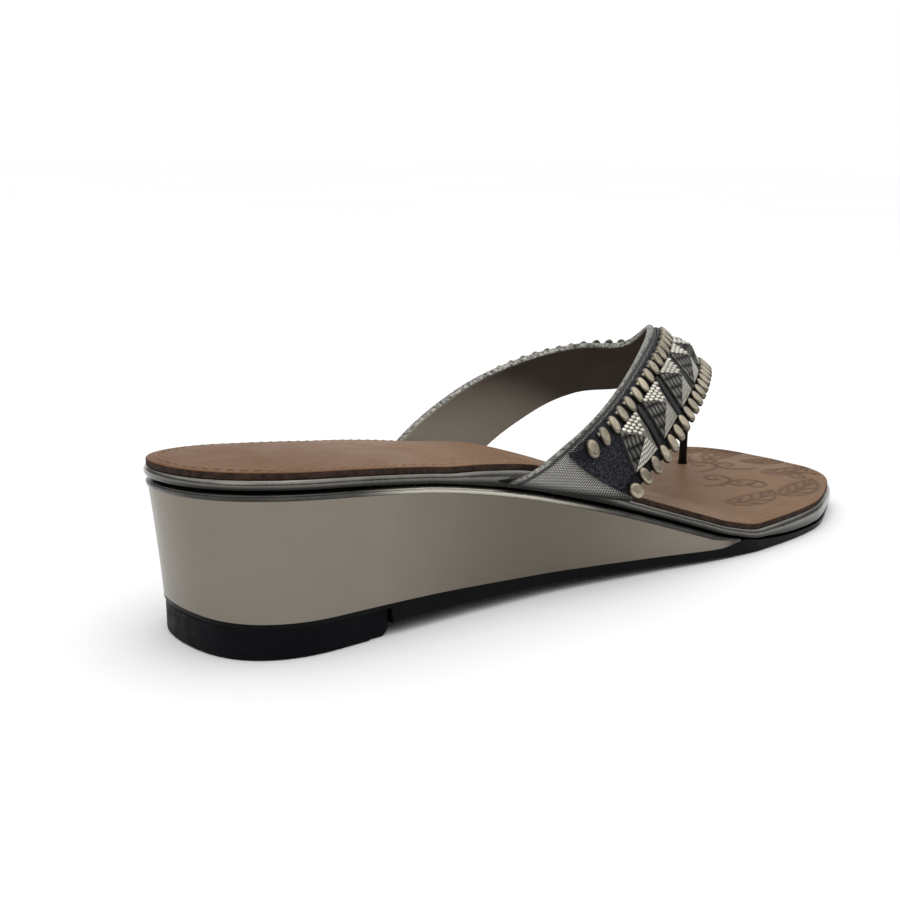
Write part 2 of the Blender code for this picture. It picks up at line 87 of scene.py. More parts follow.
# x, top of the rubber sheet, bottom of the rubber sheet
UNDER_ROWS = (
    (0.0, 9.6, 3.2),
    (54.0, 8.4, 3.2),
    (95.0, 6.4, 2.6),
    (125.0, 5.1, 1.9),
    (150.0, 4.0, 1.0),
    (158.0, 3.7, 0.6),
    (167.0, 4.9, 0.3),
    (174.0, 3.8, 0.0),
    (190.0, 2.3, 0.0),
    (207.0, 1.9, 0.0),
    (228.0, 2.6, 1.4),
    (246.0, 3.2, 2.2),
)


def curve_through(rows, index, steady=True):
    """A smooth function of a table's first column; a steady one never overshoots."""
    keys = np.array([row[0] for row in rows])
    values = np.array([row[index] for row in rows])
    span = np.diff(keys)
    step = np.diff(values) / span
    slopes = np.concatenate([step[:1], np.zeros(len(keys) - 2), step[-1:]])
    for i in range(1, len(keys) - 1):
        before, after = step[i - 1], step[i]
        if not steady:
            slopes[i] = (before * span[i] + after * span[i - 1]) / (span[i - 1] + span[i])
        elif before * after > 0:
            slopes[i] = 2 * before * after / (before + after)

    def at(x):
        x = np.clip(np.asarray(x, float), keys[0], keys[-1])
        i = np.clip(np.searchsorted(keys, x) - 1, 0, len(keys) - 2)
        s = (x - keys[i]) / span[i]
        start = (2 * s ** 3 - 3 * s ** 2 + 1) * values[i] + (s ** 3 - 2 * s ** 2 + s) * span[i] * slopes[i]
        end = (3 * s ** 2 - 2 * s ** 3) * values[i + 1] + (s ** 3 - s ** 2) * span[i] * slopes[i + 1]
        return start + end
    return at


outer_width, inner_width, edge_top, board_edge, tuck_edge = (curve_through(SOLE_ROWS, i) for i in range(1, 6))
sheet_top, sheet_bottom = (curve_through(UNDER_ROWS, i) for i in (1, 2))


def rounded(distance, length, power):
    """Share of the full width at a distance from a rounded end."""
    s = np.clip(1.0 - distance / length, 0.0, 1.0)
    return (1.0 - s ** power) ** (1.0 / power)


def outer_y(x):
    toe = rounded(LENGTH - x, TOE_ROUND_OUTER, TOE_POWER_OUTER)
    return (TOE_AXIS - (TOE_AXIS + outer_width(x)) * toe) * rounded(x, HEEL_ROUND, HEEL_POWER)


def inner_y(x):
    toe = rounded(LENGTH - x, TOE_ROUND_INNER, TOE_POWER_INNER)
    return (TOE_AXIS + (inner_width(x) - TOE_AXIS) * toe) * rounded(x, HEEL_ROUND, HEEL_POWER)


def metres(points):
    """Millimetres from the heel's back to metres in the shoe's frame."""
    return (np.asarray(points, float) - (MIDDLE, 0.0, 0.0)) * MM


def sole_plan(end=LENGTH, count=120, breaks=(), front=0):
    """Points round the plan up to x = end, their outward directions and each one's partner across."""
    xs = LENGTH / 2 * (1 - np.cos(np.pi * np.arange(count + 1) / count))
    xs = np.unique(np.concatenate([xs[xs < end - LAST_STEP], breaks, [end]]))
    sides = []
    outs = []
    for edge, sign in ((outer_y, 1.0), (inner_y, -1.0)):
        side = np.stack([xs, edge(xs)], 1)
        along = np.gradient(side, axis=0)
        out = sign * np.stack([along[:, 1], -along[:, 0]], 1)
        out /= np.linalg.norm(out, axis=1)[:, None]
        out[0] = (-1.0, 0.0)
        if end == LENGTH:
            out[-1] = (1.0, 0.0)
        sides.append(side)
        outs.append(out)
    last = len(xs) - 1
    back = np.arange(last - 1 if end == LENGTH else last, 0, -1)
    across = np.linspace(0.0, 1.0, front + 2)[1:-1, None]
    front_points = sides[0][last] + (sides[1][last] - sides[0][last]) * across
    points = np.concatenate([sides[0], front_points, sides[1][back]])
    directions = np.concatenate([outs[0], np.zeros((front, 2)), outs[1][back]])
    partner = np.arange(len(points))
    for place, row in enumerate(back):
        other = last + 1 + front + place
        partner[row], partner[other] = other, row
    for k in range(front):
        partner[last + 1 + k] = last + front - k
    return points, directions, partner


def sole_ring(plan, inset, height, inward=0.0):
    """One ring of a layer: set in from the plan, drawn towards its middle, at a height."""
    points, outs, partner = plan
    q = points - outs * np.broadcast_to(inset, len(points))[:, None]
    q = q + ((q + q[partner]) / 2 - q) * inward
    return metres(np.column_stack([q, np.broadcast_to(height(q[:, 0], q[:, 1]), len(q))]))


def quarter_turn(steps=4):
    """Sines and cosines of a quarter circle, for rounding an edge."""
    return [(math.sin(a), math.cos(a)) for a in np.linspace(0.0, math.pi / 2, steps)]


def rubber_rings(plan, inset, bevel, floor, ceiling):
    """Rings of a layer of rubber: under it, round its lower edge, up its side and over its top."""
    rings = [sole_ring(plan, inset + bevel, floor, s) for s in (1.0, 0.5, 0.1)]
    for rise, tuck in quarter_turn():
        rings.append(sole_ring(plan, inset + bevel * (1 - rise),
                               lambda x, y, c=tuck: floor(x, y) + bevel * (1 - c)))
    return rings + [sole_ring(plan, inset, ceiling, s) for s in (0.0, 0.1, 1.0)]


def start(primitive, **sizes):
    """A fresh primitive, selected alone."""
    bpy.ops.object.select_all(action="DESELECT")
    primitive(**sizes)
    return bpy.context.object


def draw_rings(name, rings, smooth_angle):
    """A piece drawn from a circle that is laid on the first ring and extruded to each of the others."""
    piece = start(bpy.ops.mesh.primitive_circle_add, vertices=len(rings[0]), radius=LENGTH * MM)
    piece.name = name
    bpy.ops.object.mode_set(mode="EDIT")
    for step, ring in enumerate(rings):
        if step:
            bpy.ops.mesh.extrude_region_move()
        mesh = bmesh.from_edit_mesh(piece.data)
        if step:
            place = mesh.verts.layers.int["place"]
        else:
            place = mesh.verts.layers.int.new("place")
            for vert in mesh.verts:
                vert[place] = vert.index
        for vert in mesh.verts:
            if vert.select:
                vert.co = ring[vert[place]]
        bmesh.update_edit_mesh(piece.data)
    bpy.ops.mesh.select_all(action="SELECT")
    bpy.ops.mesh.remove_doubles(threshold=MM / 1000)
    bpy.ops.mesh.normals_make_consistent(inside=False)
    bpy.ops.object.mode_set(mode="OBJECT")
    bpy.ops.object.shade_smooth_by_angle(angle=math.radians(smooth_angle))
    return piece


def put(tree, kind, settings=(), **inputs):
    """A node with its settings and inputs; an input is a value or another node's socket."""
    made = tree.nodes.new("ShaderNode" + kind)
    for key, value in dict(settings).items():
        setattr(made, key, value)
    for key, value in inputs.items():
        socket = made.inputs[int(key[2:])] if key.startswith("in") else made.inputs[key.replace("_", " ")]
        if isinstance(value, bpy.types.NodeSocket):
            tree.links.new(value, socket)
        else:
            socket.default_value = value
    return made


def ramp(tree, value, begin, end, low=0.0, high=1.0, kind="SMOOTHSTEP"):
    """A value brought from the range between begin and end into the range between low and high."""
    return put(tree, "MapRange", {"interpolation_type": kind}, Value=value, From_Min=begin,
               From_Max=end, To_Min=low, To_Max=high).outputs["Result"]


def reckon(tree, operation, a, b=0.0):
    """The result of a Math node."""
    return put(tree, "Math", {"operation": operation}, in0=a, in1=b).outputs["Value"]


def blend(tree, factor, a, b):
    """A colour between two, each a plain colour or another node's socket."""
    a, b = (c if isinstance(c, bpy.types.NodeSocket) else (*c, 1.0) for c in (a, b))
    return put(tree, "Mix", {"data_type": "RGBA"}, Factor=factor, A=a, B=b).outputs["Result"]


def new_group(name, inputs, outputs):
    """An empty node group with its sockets."""
    group = bpy.data.node_groups.new(name, "ShaderNodeTree")
    for label, kind in inputs:
        group.interface.new_socket(label, in_out="INPUT", socket_type="NodeSocket" + kind)
    for label in outputs:
        group.interface.new_socket(label, in_out="OUTPUT", socket_type="NodeSocketFloat")
    return group, group.nodes.new("NodeGroupInput").outputs, group.nodes.new("NodeGroupOutput").inputs


# Cloudy unevenness that every surface of the shoe has a little of.
mottle, given, result = new_group(
    "mottle", (("Vector", "Vector"), ("Scale", "Float"), ("Low", "Float"), ("High", "Float")), ("Value",))
cloud = put(mottle, "TexNoise", Vector=given["Vector"], Scale=given["Scale"], Detail=5.0,
            Roughness=0.6)
spread = ramp(mottle, cloud.outputs["Fac"], 0.3, 0.7, given["Low"], given["High"], "LINEAR")
mottle.links.new(spread, result["Value"])


def on_piece(tree, group, **inputs):
    """A node group laid on a piece by its Object coordinates."""
    where = put(tree, "TexCoord").outputs["Object"]
    return put(tree, "Group", {"node_tree": group}, Vector=where, **inputs).outputs


def cloudy(tree, scale, low=0.0, high=1.0):
    return on_piece(tree, mottle, Scale=scale, Low=low, High=high)["Value"]


def clouded(tree, dark, light, scale):
    """A colour that wanders between a dark tone and a light one."""
    return blend(tree, cloudy(tree, scale), dark, light)


def shader_inputs(tree):
    return tree.nodes["Principled BSDF"].inputs


def new_finish(name, roughness, **values):
    """A material; roughness is one value or a cloud's scale, low and high."""
    made = bpy.data.materials.new(name)
    made.use_nodes = True
    tree = made.node_tree
    for key, value in values.items():
        shader_inputs(tree)[key.replace("_", " ")].default_value = value
    if isinstance(roughness, tuple):
        tree.links.new(cloudy(tree, *roughness), shader_inputs(tree)["Roughness"])
    else:
        shader_inputs(tree)["Roughness"].default_value = roughness
    return made, tree


def tint(tree, colour):
    tree.links.new(colour, shader_inputs(tree)["Base Color"])


def bumped(tree, height, distance, strength=1.0):
    bump = put(tree, "Bump", Strength=strength, Distance=distance, Height=height)
    tree.links.new(bump.outputs["Normal"], shader_inputs(tree)["Normal"])


def fix(piece, finishes, slot, *nodes):
    """Gives a piece its finishes and its body, and hides the CAD nodes that it stands for; the slot is not
    used.
    """
    for finish in finishes:
        piece.data.materials.append(finish)
    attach(piece, "root")
    if nodes:
        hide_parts(*nodes)


def heel_slope(plan, depth=HEEL_SLOPE):
    return depth * np.maximum(-plan[1][:, 0], 0.0) ** 2


def lift_floor(x, y):
    return LIFT_NOSE * np.maximum((x - LIFT_NOSE_FROM) / (LIFT_END - LIFT_NOSE_FROM), 0.0) ** 2


def lift_ceiling(x, y):
    return sheet_top(x) - SHEET_OVER_LIFT


lift_breaks = (LIFT_BLOCK_END, LIFT_BLOCK_END + GAP, LIFT_NOSE_FROM, *LIFT_NOSE_BREAKS)
lift_plan = sole_plan(LIFT_END, 110, lift_breaks, front=24)
lift_step = np.where(lift_plan[0][:, 0] > LIFT_BLOCK_END + GAP / 2, LIFT_STEP, 0.0)
lift_in = heel_slope(lift_plan, LIFT_HEEL_SLOPE) + LIFT_INSET + lift_step
lift_block = draw_rings(
    "lift_block", rubber_rings(lift_plan, lift_in, LIFT_BEVEL, lift_floor, lift_ceiling), 35.0)
lift_rubber, tree = new_finish("lift_rubber_moulded", (350.0, 0.4, 0.62), Specular_IOR_Level=0.06)
tint(tree, clouded(tree, (0.002, 0.002, 0.0035), (0.004, 0.004, 0.006), 60.0))
bumped(tree, cloudy(tree, 1600.0), 0.00006)
fix(lift_block, (lift_rubber,), "lift_rubber", "heel_lift")

# Outsole: one sheet of black rubber under the whole shoe, thin between wedge and lift, thicker from the
# heel's breast on, level under the ball and turned up at the toe. It is glued on with a trimmed edge.
SHEET_BEVEL = 0.6
FOREFOOT_INSET = 0.5
FOREFOOT_INSET_FROM = 90.0
FOREFOOT_INSET_TO = 140.0
BALL_FLAT = (174.0, 207.0)


def forefoot_inset(plan):
    share = (plan[0][:, 0] - FOREFOOT_INSET_FROM) / (FOREFOOT_INSET_TO - FOREFOOT_INSET_FROM)
    return FOREFOOT_INSET * np.clip(share, 0.0, 1.0)


def sheet_floor(x, y):
    return np.where(x < LIFT_END + 2 * GAP, lift_ceiling(x, y), sheet_bottom(x))


def sheet_ceiling(x, y):
    return sheet_top(x)


sheet_plan = sole_plan(breaks=(LIFT_END + GAP, LIFT_END + 3 * GAP, *BALL_FLAT))
sheet_in = heel_slope(sheet_plan) + forefoot_inset(sheet_plan)
outsole_sheet = draw_rings(
    "outsole_sheet", rubber_rings(sheet_plan, sheet_in, SHEET_BEVEL, sheet_floor, sheet_ceiling), 35.0)
sole_rubber, tree = new_finish("black_sole_rubber", (250.0, 0.26, 0.46), Specular_IOR_Level=0.07)
tint(tree, clouded(tree, (0.0015, 0.0015, 0.0022), (0.003, 0.003, 0.004), 45.0))
bumped(tree, cloudy(tree, 1200.0), 0.00003)
fix(outsole_sheet, (sole_rubber,), "black_rubber", "outsole")

# Wedge: a light moulded core wrapped in a smooth pewter-coloured metallic sheet that is pulled over its top
# edge into a rolled lip. Its back leans in towards the lift and its front runs out to a tip at the ball.
INSOLE_EDGE = 1.4
HEEL_TILT = 1.4
TILT_HALF_WIDTH = 28.0
TILT_FADE_START = 60.0
TILT_FADE_END = 100.0
TUCK_FULL_Y = -2.0
TUCK_GONE_Y = 22.0
WEDGE_TIP = 165.5
WEDGE_INSET = 0.9
TIP_MARGIN = 0.2
LIP_HEIGHT = 2.0
LIP_SHARE = 0.4
LIP_INSET = 0.35
LIP_ROLL = 1.5
LIP_ROLL_BELOW = 0.4


def tuck_rise(x, y):
    share = np.clip((TUCK_GONE_Y - y) / (TUCK_GONE_Y - TUCK_FULL_Y), 0.0, 1.0)
    return tuck_edge(x) * share * share * (3 - 2 * share)


def insole_edge_z(x, y):
    fade = np.clip((TILT_FADE_END - x) / (TILT_FADE_END - TILT_FADE_START), 0.0, 1.0)
    return edge_top(x) - HEEL_TILT * fade * y / TILT_HALF_WIDTH + tuck_rise(x, y)


def board_depth(x, y):
    return board_edge(x) + tuck_rise(x, y)


def board_top_z(x, y):
    return insole_edge_z(x, y) - INSOLE_EDGE - GAP


def board_bottom_z(x, y):
    return board_top_z(x, y) - board_depth(x, y)


def wedge_top_z(x, y):
    return board_bottom_z(x, y) - GAP


def lip_z(turn):
    """Round the lip from its foot (-1) to its top (1)."""
    def height(x, y):
        lip = np.minimum(LIP_HEIGHT, LIP_SHARE * (wedge_top_z(x, y) - sheet_top(x)))
        return wedge_top_z(x, y) - lip * (1 - turn) / 2
    return height


def wedge_wall_z(share):
    """Up the wall from the rubber sheet (0) to the foot of the lip (1)."""
    def height(x, y):
        low = sheet_top(x)
        return low + share * (lip_z(-1.0)(x, y) - low)
    return height


def along_shoe(tree):
    """Metres forward of the shoe's middle."""
    where = put(tree, "TexCoord")
    return put(tree, "SeparateXYZ", Vector=where.outputs["Object"]).outputs["X"]


def stretch_of_shoe(tree, begin, full, fade, gone):
    """A mask along the shoe: nothing up to begin, all from full to fade, nothing from gone on."""
    place = along_shoe(tree)
    return reckon(tree, "MULTIPLY", ramp(tree, place, begin, full), ramp(tree, place, fade, gone, 1.0, 0.0))


wedge_plan = sole_plan(WEDGE_TIP, front=30)
wedge_in = heel_slope(wedge_plan) + forefoot_inset(wedge_plan)
wedge_tuck = heel_slope(wedge_plan, HEEL_TUCK)
wedge_rings = [sole_ring(wedge_plan, wedge_in, sheet_ceiling, s) for s in (1.0, 0.1)]
for share in np.linspace(0.0, 1.0, 9):
    wall_in = (WEDGE_INSET + wedge_tuck) * share + wedge_in * (1 - share)
    wedge_rings.append(sole_ring(wedge_plan, wall_in, wedge_wall_z(share)))
for turn in np.linspace(-0.9, 1.0, 8):
    roll = LIP_INSET + LIP_ROLL * (1 - math.sqrt(1 - turn ** 2)) * (LIP_ROLL_BELOW if turn < 0 else 1.0)
    wedge_rings.append(sole_ring(wedge_plan, wedge_tuck + roll, lip_z(turn)))
wedge_rings += [sole_ring(wedge_plan, wedge_tuck + LIP_INSET + LIP_ROLL, wedge_top_z, s) for s in (0.1, 1.0)]
wedge_cover = draw_rings("wedge_cover", wedge_rings, 50.0)
for face in wedge_cover.data.polygons:
    spot = face.center / MM
    lip_foot = float(lip_z(-1.0)(spot.x + MIDDLE, spot.y))
    face.material_index = int(spot.z > lip_foot and spot.x < WEDGE_TIP - MIDDLE - TIP_MARGIN)

pewter, tree = new_finish("pewter_sheet_smooth", (90.0, 0.27, 0.34), Metallic=0.9)
tone = clouded(tree, (0.2, 0.179, 0.146), (0.22, 0.197, 0.162), 28.0)
# Painted shade: the sheet is painted darker along the arch, fading out towards the heel and towards the
# wedge's tip.
painted_arch_shade = stretch_of_shoe(tree, -0.09, -0.03, -0.025, 0.035)
tint(tree, blend(tree, painted_arch_shade, tone, (0.132, 0.116, 0.092)))
bumped(tree, cloudy(tree, 140.0, 0.2, 0.8), 0.00003, 0.12)
# Painted reflections: the lip is the same pewter sheet as the wall, but its colour is painted nearly black as
# the dark room it reflects, with a painted pale highlight along a stretch of both sides between the heel and
# the arch.
lip_painted_reflections, tree = new_finish("dark_lip_sheet", (200.0, 0.16, 0.3), Metallic=0.9)
tone = clouded(tree, (0.035, 0.034, 0.031), (0.085, 0.082, 0.074), 90.0)
painted_lip_highlight = stretch_of_shoe(tree, -0.088, -0.066, -0.035, 0.0)
tint(tree, blend(tree, painted_lip_highlight, tone, (0.5, 0.475, 0.41)))
bumped(tree, cloudy(tree, 300.0), 0.00012, 0.7)
fix(wedge_cover, (pewter, lip_painted_reflections), "pewter_sheet", "wedge")

# Footbed board: a stiff board whose edge is wrapped in glossy dark pewter sheet, round the whole shoe. The
# wrap is drawn tight, so the edge is a smooth half round with a fine line of reflections along it.
BOARD_ROUND = 1.3


def mark_points(piece, name, measure):
    """Keeps a measure of each point, taken from its x, y and z in millimetres, as an attribute."""
    spots = np.array([vert.co for vert in piece.data.vertices]) / MM + (MIDDLE, 0.0, 0.0)
    marks = piece.data.attributes.new(name, "FLOAT", "POINT")
    marks.data.foreach_set("value", measure(*spots.T))


def marked(tree, name):
    return put(tree, "Attribute", {"attribute_name": name}).outputs["Fac"]


board_plan = sole_plan(count=160)
board_in = heel_slope(board_plan, HEEL_TUCK) + BOARD_ROUND
board_rings = [sole_ring(board_plan, board_in, board_bottom_z, s) for s in (1.0, 0.1)]
for turn in np.linspace(-math.pi / 2, math.pi / 2, 13):
    board_rings.append(sole_ring(
        board_plan, board_in - BOARD_ROUND * math.cos(turn),
        lambda x, y, s=math.sin(turn): board_bottom_z(x, y) + board_depth(x, y) * (1 + s) / 2))
board_rings += [sole_ring(board_plan, board_in, board_top_z, s) for s in (0.1, 1.0)]
board_wrap = draw_rings("board_wrap", board_rings, 50.0)
mark_points(board_wrap, "rolled", lambda x, y, z: (z - board_bottom_z(x, y)) / board_depth(x, y))
gunmetal, tree = new_finish("dark_pewter_wrap", (160.0, 0.12, 0.24), Metallic=1.0)
tone = clouded(tree, (0.15, 0.144, 0.128), (0.22, 0.212, 0.19), 80.0)
# Painted shade: the wrap is painted nearly black towards the bottom of its half round and keeps its own tone
# towards the top.
painted_light_share = ramp(tree, marked(tree, "rolled"), 0.2, 0.7)
tint(tree, blend(tree, painted_light_share, (0.022, 0.021, 0.019), tone))
bumped(tree, cloudy(tree, 260.0), 0.00008, 0.6)
fix(board_wrap, (gunmetal,), "dark_pewter_sheet", "footbed_board")

# Insole: a glossy brown leather sock glued on the board, a little crowned, with a raw dark edge. The
# forefoot is tooled with leaves and scrolls pressed into the wet leather; the toe post comes up through it.
INSOLE_INSET = 1.1
INSOLE_BEVEL = 0.4
INSOLE_CROWN = 1.3
CROWN_END = 25.0
TOOLED_FROM = 165.0
TOOL_DEPTH = 0.32
TOOL_WIDTH = 0.6
LEAF_SWELL = 0.8
VEIN_FEET = (4, 10, 16)
VEIN_STEPS = 6
VEIN_REACH = 0.8
SCROLL_TIGHTEN = 0.7
SCROLL_SHORTEN = 0.75
POINTS_AT_ONCE = 2000
POST_FOOT = (214.0, 20.0)
POST_DENT = 3.2
POST_DENT_DEPTH = 0.8
# first, last and step of the closer rows that carry the tooling
TOOL_ROWS = (175.0, 245.0, 0.8)
# foot x, foot y, heading in degrees, length, bend in degrees, half width of each tooled leaf
LEAVES = (
    (181.0, -25.0, -25.0, 25.0, 50.0, 4.6),
    (203.0, -30.0, -5.0, 27.0, 35.0, 4.7),
    (221.0, -8.0, -40.0, 24.0, 65.0, 4.2),
    (231.0, 8.0, -60.0, 19.0, 75.0, 3.8),
    (222.0, 14.0, 40.0, 24.0, -70.0, 4.4),
    (206.0, 30.0, 15.0, 26.0, -40.0, 4.2),
    (232.0, 34.0, -80.0, 19.0, 80.0, 3.6),
    (186.0, 34.0, 0.0, 20.0, -35.0, 3.5),
)
# start x, start y, heading in degrees, length, turn in degrees of each tooled scroll
SCROLLS = (
    (192.0, -8.0, -30.0, 44.0, 400.0),
    (196.0, -12.0, 30.0, 46.0, -410.0),
    (226.0, -4.0, 170.0, 40.0, -400.0),
    (224.0, 24.0, 200.0, 38.0, 410.0),
    (205.0, 6.0, -20.0, 42.0, 390.0),
    (238.0, -22.0, 110.0, 34.0, 380.0),
    (188.0, 22.0, -10.0, 34.0, 400.0),
    (212.0, -14.0, 215.0, 30.0, -390.0),
)


def bent_line(x, y, heading, length, bend, steps=28, tighten=0.0):
    """Points along a line that turns evenly, or ever faster, from its first heading."""
    s = np.linspace(0.0, 1.0, steps)
    angle = np.radians(heading + bend * (s * (1 - tighten) + tighten * s ** 2))
    pace = length / (steps - 1) * (1.0 - SCROLL_SHORTEN * tighten * s)
    return np.column_stack([x + np.cumsum(np.cos(angle) * pace), y + np.cumsum(np.sin(angle) * pace)]), angle


def tool_lines():
    """Every line that the leaves and scrolls press into the leather."""
    lines = []
    for *rib_line, half in LEAVES:
        rib, angle = bent_line(*rib_line)
        s = np.linspace(0.0, 1.0, len(rib))[:, None]
        side = np.column_stack([-np.sin(angle), np.cos(angle)])
        swell = side * half * np.sin(np.pi * s ** LEAF_SWELL) ** LEAF_SWELL
        lines += [rib, rib + swell, rib - swell]
        for foot in VEIN_FEET:
            end = foot + VEIN_STEPS
            reach = swell[end] * VEIN_REACH
            lines += [np.linspace(rib[foot], tip, 8) for tip in (rib[end] - reach, rib[end] + reach)]
    lines += [bent_line(*scroll, 48, SCROLL_TIGHTEN)[0] for scroll in SCROLLS]
    return np.concatenate(lines)


tool_points = tool_lines()


def tooling(x, y):
    """How deep the tool pressed at each point, from 0 to 1."""
    deep = np.zeros(len(x))
    near = np.nonzero(x > TOOLED_FROM)[0]
    for chunk in np.array_split(near, max(len(near) // POINTS_AT_ONCE, 1)):
        gap = np.hypot(x[chunk, None] - tool_points[None, :, 0], y[chunk, None] - tool_points[None, :, 1])
        deep[chunk] = np.exp(-(gap.min(axis=1) / TOOL_WIDTH) ** 2)
    return deep


def post_dent(x, y):
    return np.exp(-(np.hypot(x - POST_FOOT[0], y - POST_FOOT[1]) / POST_DENT) ** 2)


def sock_z(inward):
    """Top of the insole: edge height, crown and tooling."""
    def height(x, y):
        crown = INSOLE_CROWN * (1 - (1 - inward) ** 2)
        narrow = np.clip(np.minimum(x, LENGTH - x) / CROWN_END, 0.0, 1.0)
        pressed = TOOL_DEPTH * tooling(x, y) + POST_DENT_DEPTH * post_dent(x, y)
        return insole_edge_z(x, y) + crown * narrow - pressed
    return height


sock_plan = sole_plan(LENGTH, 300, np.arange(*TOOL_ROWS))
sock_rings = [sole_ring(sock_plan, INSOLE_INSET, board_top_z, s) for s in (1.0, 0.0)]
for rise, tuck in quarter_turn():
    sock_rings.append(sole_ring(sock_plan, INSOLE_INSET + INSOLE_BEVEL * (1 - tuck),
                                lambda x, y, r=rise: insole_edge_z(x, y) - INSOLE_BEVEL * (1 - r)))
for inward in np.linspace(0.0, 1.0, 57)[1:]:
    sock_rings.append(sole_ring(sock_plan, INSOLE_INSET + INSOLE_BEVEL, sock_z(inward), inward))
insole_sock = draw_rings("insole_sock", sock_rings, 60.0)
mark_points(insole_sock, "pressed", lambda x, y, z: np.maximum(tooling(x, y), post_dent(x, y)))
for face in insole_sock.data.polygons:
    face.material_index = 0 if face.normal.z > 0.5 else 1

# Leather grain, shared by the insole and the strap's dark panel.
grain, given, result = new_group("grain", (("Vector", "Vector"), ("Scale", "Float")), ("Height", "Fleck"))
cells = put(grain, "TexVoronoi", {"feature": "DISTANCE_TO_EDGE"}, Vector=given["Vector"],
            Scale=given["Scale"])
patch = put(grain, "TexNoise", Vector=given["Vector"], Scale=given["Scale"], Detail=2.0)
grain.links.new(ramp(grain, cells.outputs["Distance"], 0.0, 0.25, kind="LINEAR"), result["Height"])
grain.links.new(patch.outputs["Fac"], result["Fleck"])

brown, tree = new_finish("brown_sock_leather", (120.0, 0.42, 0.56), Coat_Weight=0.03, Coat_Roughness=0.2,
                         Specular_IOR_Level=0.05)
tone = clouded(tree, (0.172, 0.096, 0.05), (0.215, 0.124, 0.067), 35.0)
heel = blend(tree, ramp(tree, along_shoe(tree), -0.1, -0.05, 1.0, 0.0), tone, (0.155, 0.076, 0.034))
tint(tree, blend(tree, marked(tree, "pressed"), heel, (0.085, 0.047, 0.03)))
bumped(tree, on_piece(tree, grain, Scale=1300.0)["Height"], 0.00006, 0.6)
raw_edge, tree = new_finish("raw_leather_edge", 0.8, Specular_IOR_Level=0.15)
tint(tree, clouded(tree, (0.014, 0.008, 0.006), (0.055, 0.032, 0.021), 600.0))
bumped(tree, cloudy(tree, 1500.0), 0.0002)
fix(insole_sock, (brown, raw_edge), "brown_sock", "insole")

# Edge stitching of the insole: a lockstitch of tan thread a few millimetres inside its edge, each stitch a
# short length of thread sunk a little in the leather at both ends.
STITCH_INSET = 3.6
STITCH_PITCH = 3.0
STITCH_LENGTH = 2.2
STITCH_RADIUS = 0.16
STITCH_FLAT = 0.8
NARROWEST = 12.0


def joined(name, pieces):
    """Several pieces made one, with their places in its mesh."""
    bpy.ops.object.select_all(action="DESELECT")
    for piece in pieces:
        piece.select_set(True)
    bpy.context.view_layer.objects.active = pieces[0]
    bpy.ops.object.transform_apply(location=True, rotation=True, scale=True)
    bpy.ops.object.join()
    pieces[0].name = name
    return pieces[0]


def scatter(name, model, places):
    """Copies of a model at the given places, joined as one piece; the model itself goes."""
    copies = []
    for place in places:
        copy = model.copy()
        copy.data = model.data.copy()
        copy.matrix_world = Matrix(place)
        bpy.context.collection.objects.link(copy)
        copies.append(copy)
    bpy.data.objects.remove(model)
    return joined(name, copies)


def placed(origin, along, out):
    """A place whose x runs along and whose z points out."""
    out = Vector(out).normalized()
    side = out.cross(Vector(along)).normalized()
    turn = Matrix((side.cross(out), side, out)).transposed()
    return Matrix.Translation(Vector(origin)) @ turn.to_4x4()


def run_along(points):
    """Distance of each point from the first, along the line through them."""
    return np.concatenate([[0.0], np.cumsum(np.linalg.norm(np.diff(points, axis=0), axis=1))])


stitch_ring = sole_ring(sock_plan, STITCH_INSET, insole_edge_z)
stitch_x = stitch_ring[:, 0] / MM + MIDDLE
width = np.maximum(inner_y(stitch_x) - outer_y(stitch_x), NARROWEST)
run = run_along(stitch_ring)
stitch_ring[:, 2] += INSOLE_CROWN * (1 - (1 - 2 * (STITCH_INSET - INSOLE_INSET) / width) ** 2) * MM
stitch_places = []
for s in np.arange(0.0, run[-1], STITCH_PITCH * MM):
    here, ahead = (np.array([np.interp(d, run, stitch_ring[:, i]) for i in range(3)]) for d in (s, s + MM))
    stitch_places.append(placed(here, ahead - here, (0.0, 0.0, 1.0)))
stitch = start(bpy.ops.mesh.primitive_uv_sphere_add, segments=10, ring_count=6, radius=STITCH_RADIUS * MM)
bpy.ops.transform.resize(value=(STITCH_LENGTH / (2 * STITCH_RADIUS), 1.0, STITCH_FLAT))
bpy.ops.object.transform_apply(location=False, rotation=False, scale=True)
bpy.ops.object.shade_smooth()
edge_stitches = scatter("edge_stitches", stitch, stitch_places)
tan_thread, tree = new_finish("tan_thread", 0.7)
tint(tree, clouded(tree, (0.2, 0.12, 0.07), (0.36, 0.24, 0.145), 250.0))
fix(edge_stitches, (tan_thread,), "brown_sock")

# Strap: one V-shaped strap cut from pewter metallic cloth, folded over at its edges and lined with smooth
# taupe synthetic. Its two feet are lasted under the board's edge and its apex stands over the toe post.
STRAP_WALL = 2.2
STRAP_RIM = 0.9
# length and width of the strap laid flat, which scale its weave
STRAP_FLAT = (215.0, 42.0, 1.0)
THREAD_TURN = 12.0
THREAD_PITCH = 0.85
